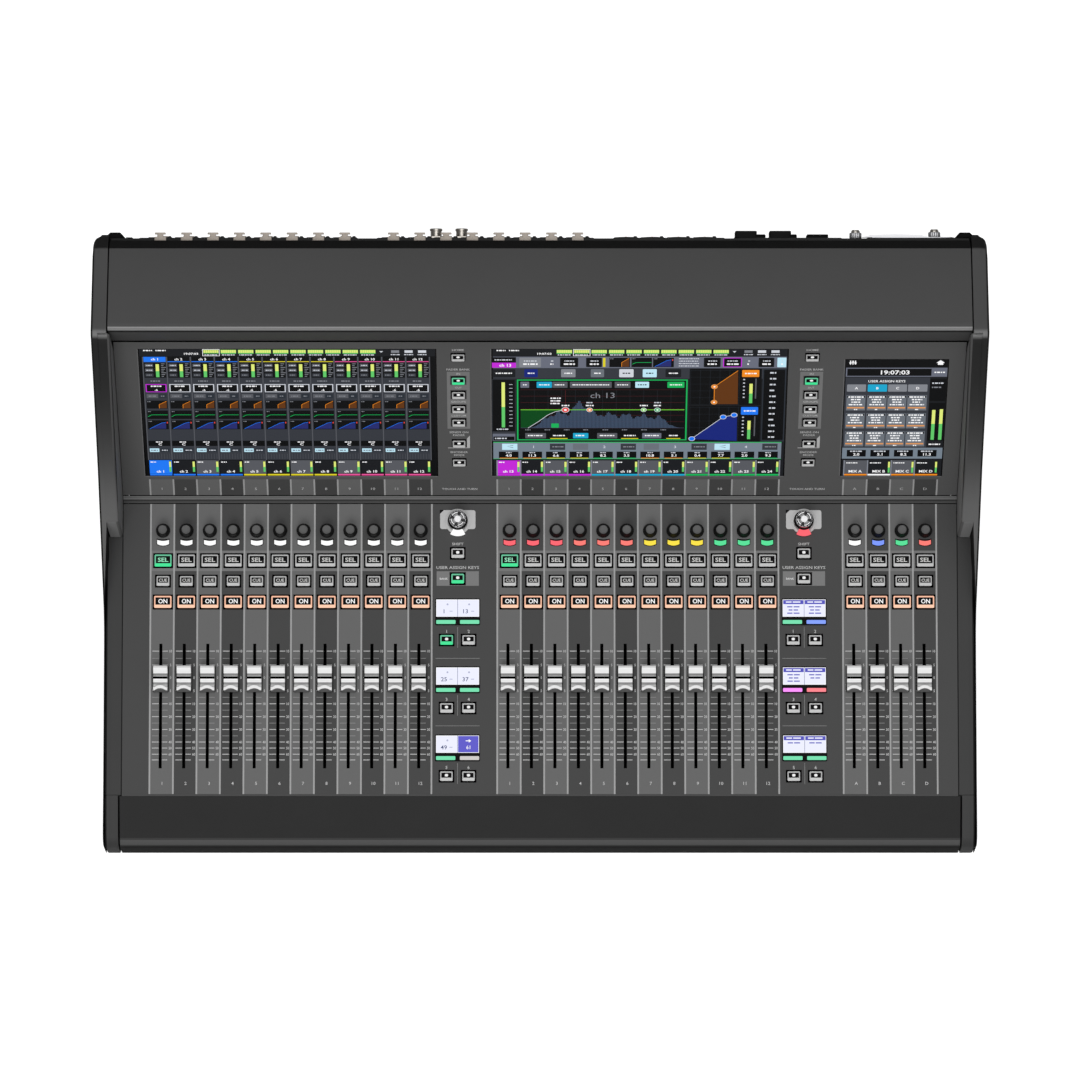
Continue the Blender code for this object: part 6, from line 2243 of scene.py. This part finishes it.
GUARD_X = (371.0, 384.0)
GUARD_OUTER = 391.5
GUARD_OUT = 5.5
GUARD_OUTER_OUT = 3.4


def make_bumpers():
    """Corner guards behind both cheeks, which protect the sockets when the console is stood on end."""
    for side in (-1, 1):
        guard = Shape()
        x0, x1 = sorted((-side * GUARD_X[0], -side * GUARD_X[1]))
        for low, high in ((REAR_LENGTH - 70.0, REAR_LENGTH - 2.0), (16.0, 70.0)):
            block(guard, x0, x1, low, high, -1.0, GUARD_OUT, "rubber", radius=3.0, edge=2.0)
            outer = sorted((-side * (GUARD_X[0] + 2.0), -side * GUARD_OUTER))
            block(guard, *outer, low, high, -1.0, GUARD_OUTER_OUT, "rubber", radius=3.0, edge=2.4)
        x0, x1 = sorted((-side * 362.0, -side * 368.0))
        block(guard, x0, x1, REAR_LENGTH - 30.0, REAR_LENGTH - 4.0, -1.0, 1.2, "rubber", radius=1.0, edge=0.4)
        name = "rear_guard_left" if side < 0 else "rear_guard_right"
        place_piece(name, guard.mesh(name), REAR, "console")


# ---------------------------------------------------------------- underside and inside


def make_feet():
    for row in ("front", "rear"):
        for side in ("left", "right"):
            name = f"foot_{row}_{side}"
            low, high = world_box(name)
            x, y = (low.x + high.x) / 2, (low.y + high.y) / 2
            foot = Shape()
            profile = [(11.0, 0.0), (12.0, 0.5), (13.0, 4.5), (14.0, 7.0), (14.0, 8.0)]
            turned(foot, x, y, profile, 48, "rubber")
            place_piece(f"{name}_pad", foot.mesh(f"{name}_pad"), WORLD, "console", (name,))


def make_casing_screws():
    """Screws along the underside and in both cheeks."""
    under = Shape()
    for x in (-350.0, -175.0, 0.0, 175.0, 350.0):
        for y in (-225.0, -60.0, 100.0, 262.0):
            add_screw(under, x, y, 0.0, 3.0)
    flip = Matrix.Translation((0.0, 0.0, 8.3 * MM)) @ Matrix.Rotation(math.pi, 4, "X")
    place_piece("underside_screws", under.mesh("underside_screws"), flip, "console")
    for side in (-1, 1):
        heads = Shape()
        for y, z in ((-230.0, 40.0), (-60.0, 45.0), (110.0, 60.0), (230.0, 60.0), (180.0, 250.0), (90.0, 200.0)):
            add_screw(heads, side * y, z, -0.6, 3.4)
        turn = Matrix(((0, 0, side, 0), (side, 0, 0, 0), (0, 1, 0, 0), (0, 0, 0, 1)))
        name = "left_cheek_screws" if side < 0 else "right_cheek_screws"
        place = Matrix.Translation((side * SKIN_OUTER * MM, 0.0, 0.0)) @ turn
        place_piece(name, heads.mesh(name), place, "console")


def finish_inner_nodes():
    """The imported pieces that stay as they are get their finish."""
    for node, finish in (("bottom_chassis", "black_steel"), ("main_board", "circuit_board"),
                         ("power_supply", "black_steel")):
        piece = frame["nodes"][node]
        piece.data.materials.clear()
        piece.data.materials.append(FINISHES[finish])


# ---------------------------------------------------------------- studio

FOCAL_MM = 230.8
SENSOR_MM = 36.0
CAMERA_PLACE = (0.0, -1.3153, 6.2586)
CAMERA_TILT = 12.0
SKY_LOW = 0.18
SKY_HIGH = 0.50


def make_camera():
    data = bpy.data.cameras.new("camera")
    data.lens = FOCAL_MM
    data.sensor_width = SENSOR_MM
    data.clip_end = 100.0
    camera = bpy.data.objects.new("camera", data)
    camera.location = CAMERA_PLACE
    camera.rotation_euler = (math.radians(CAMERA_TILT), 0.0, 0.0)
    bpy.context.scene.collection.objects.link(camera)
    bpy.context.scene.camera = camera


def soft_light(name, place, target, size, power):
    data = bpy.data.lights.new(name, "AREA")
    data.shape = "RECTANGLE"
    data.size, data.size_y = size
    data.energy = power
    light = bpy.data.objects.new(name, data)
    light.location = place
    light.rotation_euler = (Vector(target) - Vector(place)).to_track_quat("-Z", "Y").to_euler()
    bpy.context.scene.collection.objects.link(light)


def make_floor():
    """A pale floor that reads as white to the camera and still takes a faint contact shadow."""
    mesh = bpy.data.meshes.new("floor")
    reach = 30.0
    mesh.from_pydata([(-reach, -reach, 0), (reach, -reach, 0), (reach, reach, 0), (-reach, reach, 0)], [],
                     [(0, 1, 2, 3)])
    floor = bpy.data.objects.new("floor", mesh)
    bpy.context.scene.collection.objects.link(floor)
    material, tree, shader = new_material("floor_paint")
    shader.inputs["Base Color"].default_value = (0.45, 0.45, 0.45, 1.0)
    shader.inputs["Roughness"].default_value = 0.9
    shader.inputs["Specular IOR Level"].default_value = 0.0
    shader.inputs["Emission Color"].default_value = (1.0, 1.0, 1.0, 1.0)
    path = tree.nodes.new("ShaderNodeLightPath")
    level = tree.nodes.new("ShaderNodeMath")
    level.operation = "MULTIPLY"
    level.inputs[1].default_value = 0.80
    tree.links.new(path.outputs["Is Camera Ray"], level.inputs[0])
    tree.links.new(level.outputs["Value"], shader.inputs["Emission Strength"])
    mesh.materials.append(material)


def make_world():
    """White to the camera. To everything else it is bright overhead and dimmer towards the horizon."""
    world = bpy.data.worlds.new("studio")
    world.use_nodes = True
    tree = world.node_tree
    back = tree.nodes["Background"]
    back.inputs["Color"].default_value = (1.0, 1.0, 1.0, 1.0)
    place = tree.nodes.new("ShaderNodeTexCoord")
    split = tree.nodes.new("ShaderNodeSeparateXYZ")
    tree.links.new(place.outputs["Generated"], split.inputs["Vector"])
    sky = tree.nodes.new("ShaderNodeMapRange")
    sky.inputs["From Min"].default_value = 0.1
    sky.inputs["From Max"].default_value = 0.9
    sky.inputs["To Min"].default_value = SKY_LOW
    sky.inputs["To Max"].default_value = SKY_HIGH
    tree.links.new(split.outputs["Z"], sky.inputs["Value"])
    path = tree.nodes.new("ShaderNodeLightPath")
    level = tree.nodes.new("ShaderNodeMix")
    level.data_type = "FLOAT"
    level.inputs["B"].default_value = 1.0
    tree.links.new(path.outputs["Is Camera Ray"], level.inputs["Factor"])
    tree.links.new(sky.outputs["Result"], level.inputs["A"])
    tree.links.new(level.outputs["Result"], back.inputs["Strength"])
    bpy.context.scene.world = world


def make_studio():
    make_camera()
    make_floor()
    make_world()
    soft_light("key_light", (-0.6, -3.2, 3.6), (0.0, 0.0, 0.1), (3.0, 2.0), 110.0)
    soft_light("top_light", (0.2, 0.4, 4.4), (0.0, 0.0, 0.1), (3.4, 3.0), 90.0)
    soft_light("rear_light", (0.0, 3.4, 2.2), (0.0, 0.1, 0.2), (3.0, 1.6), 25.0)
    bpy.context.scene.view_settings.view_transform = "Standard"
    bpy.context.scene.view_settings.look = "None"


def make_console():
    make_hood()
    for side in (-1, 1):
        make_cheek(side)
    make_armrest()
    make_seams()
    make_deck_plate()
    make_deck_upstand()
    make_panel_plate()
    for side in SCREENS:
        make_screen_glass(side)
    draw_left()
    draw_centre()
    draw_right()
    for bank in BANKS:
        make_bank_keys(bank)
    for section in SECTIONS:
        make_utility_keys(section)
        make_panel_keys(section)
    make_encoder_rows()
    make_turning_encoders()
    make_touch_knobs()
    make_faders()
    make_fader_rails()
    make_bank_lights()
    make_deck_print()
    make_knob_plates()
    make_lcds()
    make_panel_print()
    make_rear_panel()
    make_sockets()
    make_card_slot()
    make_bumpers()
    make_feet()
    make_casing_screws()
    finish_inner_nodes()


make_console()
make_studio()
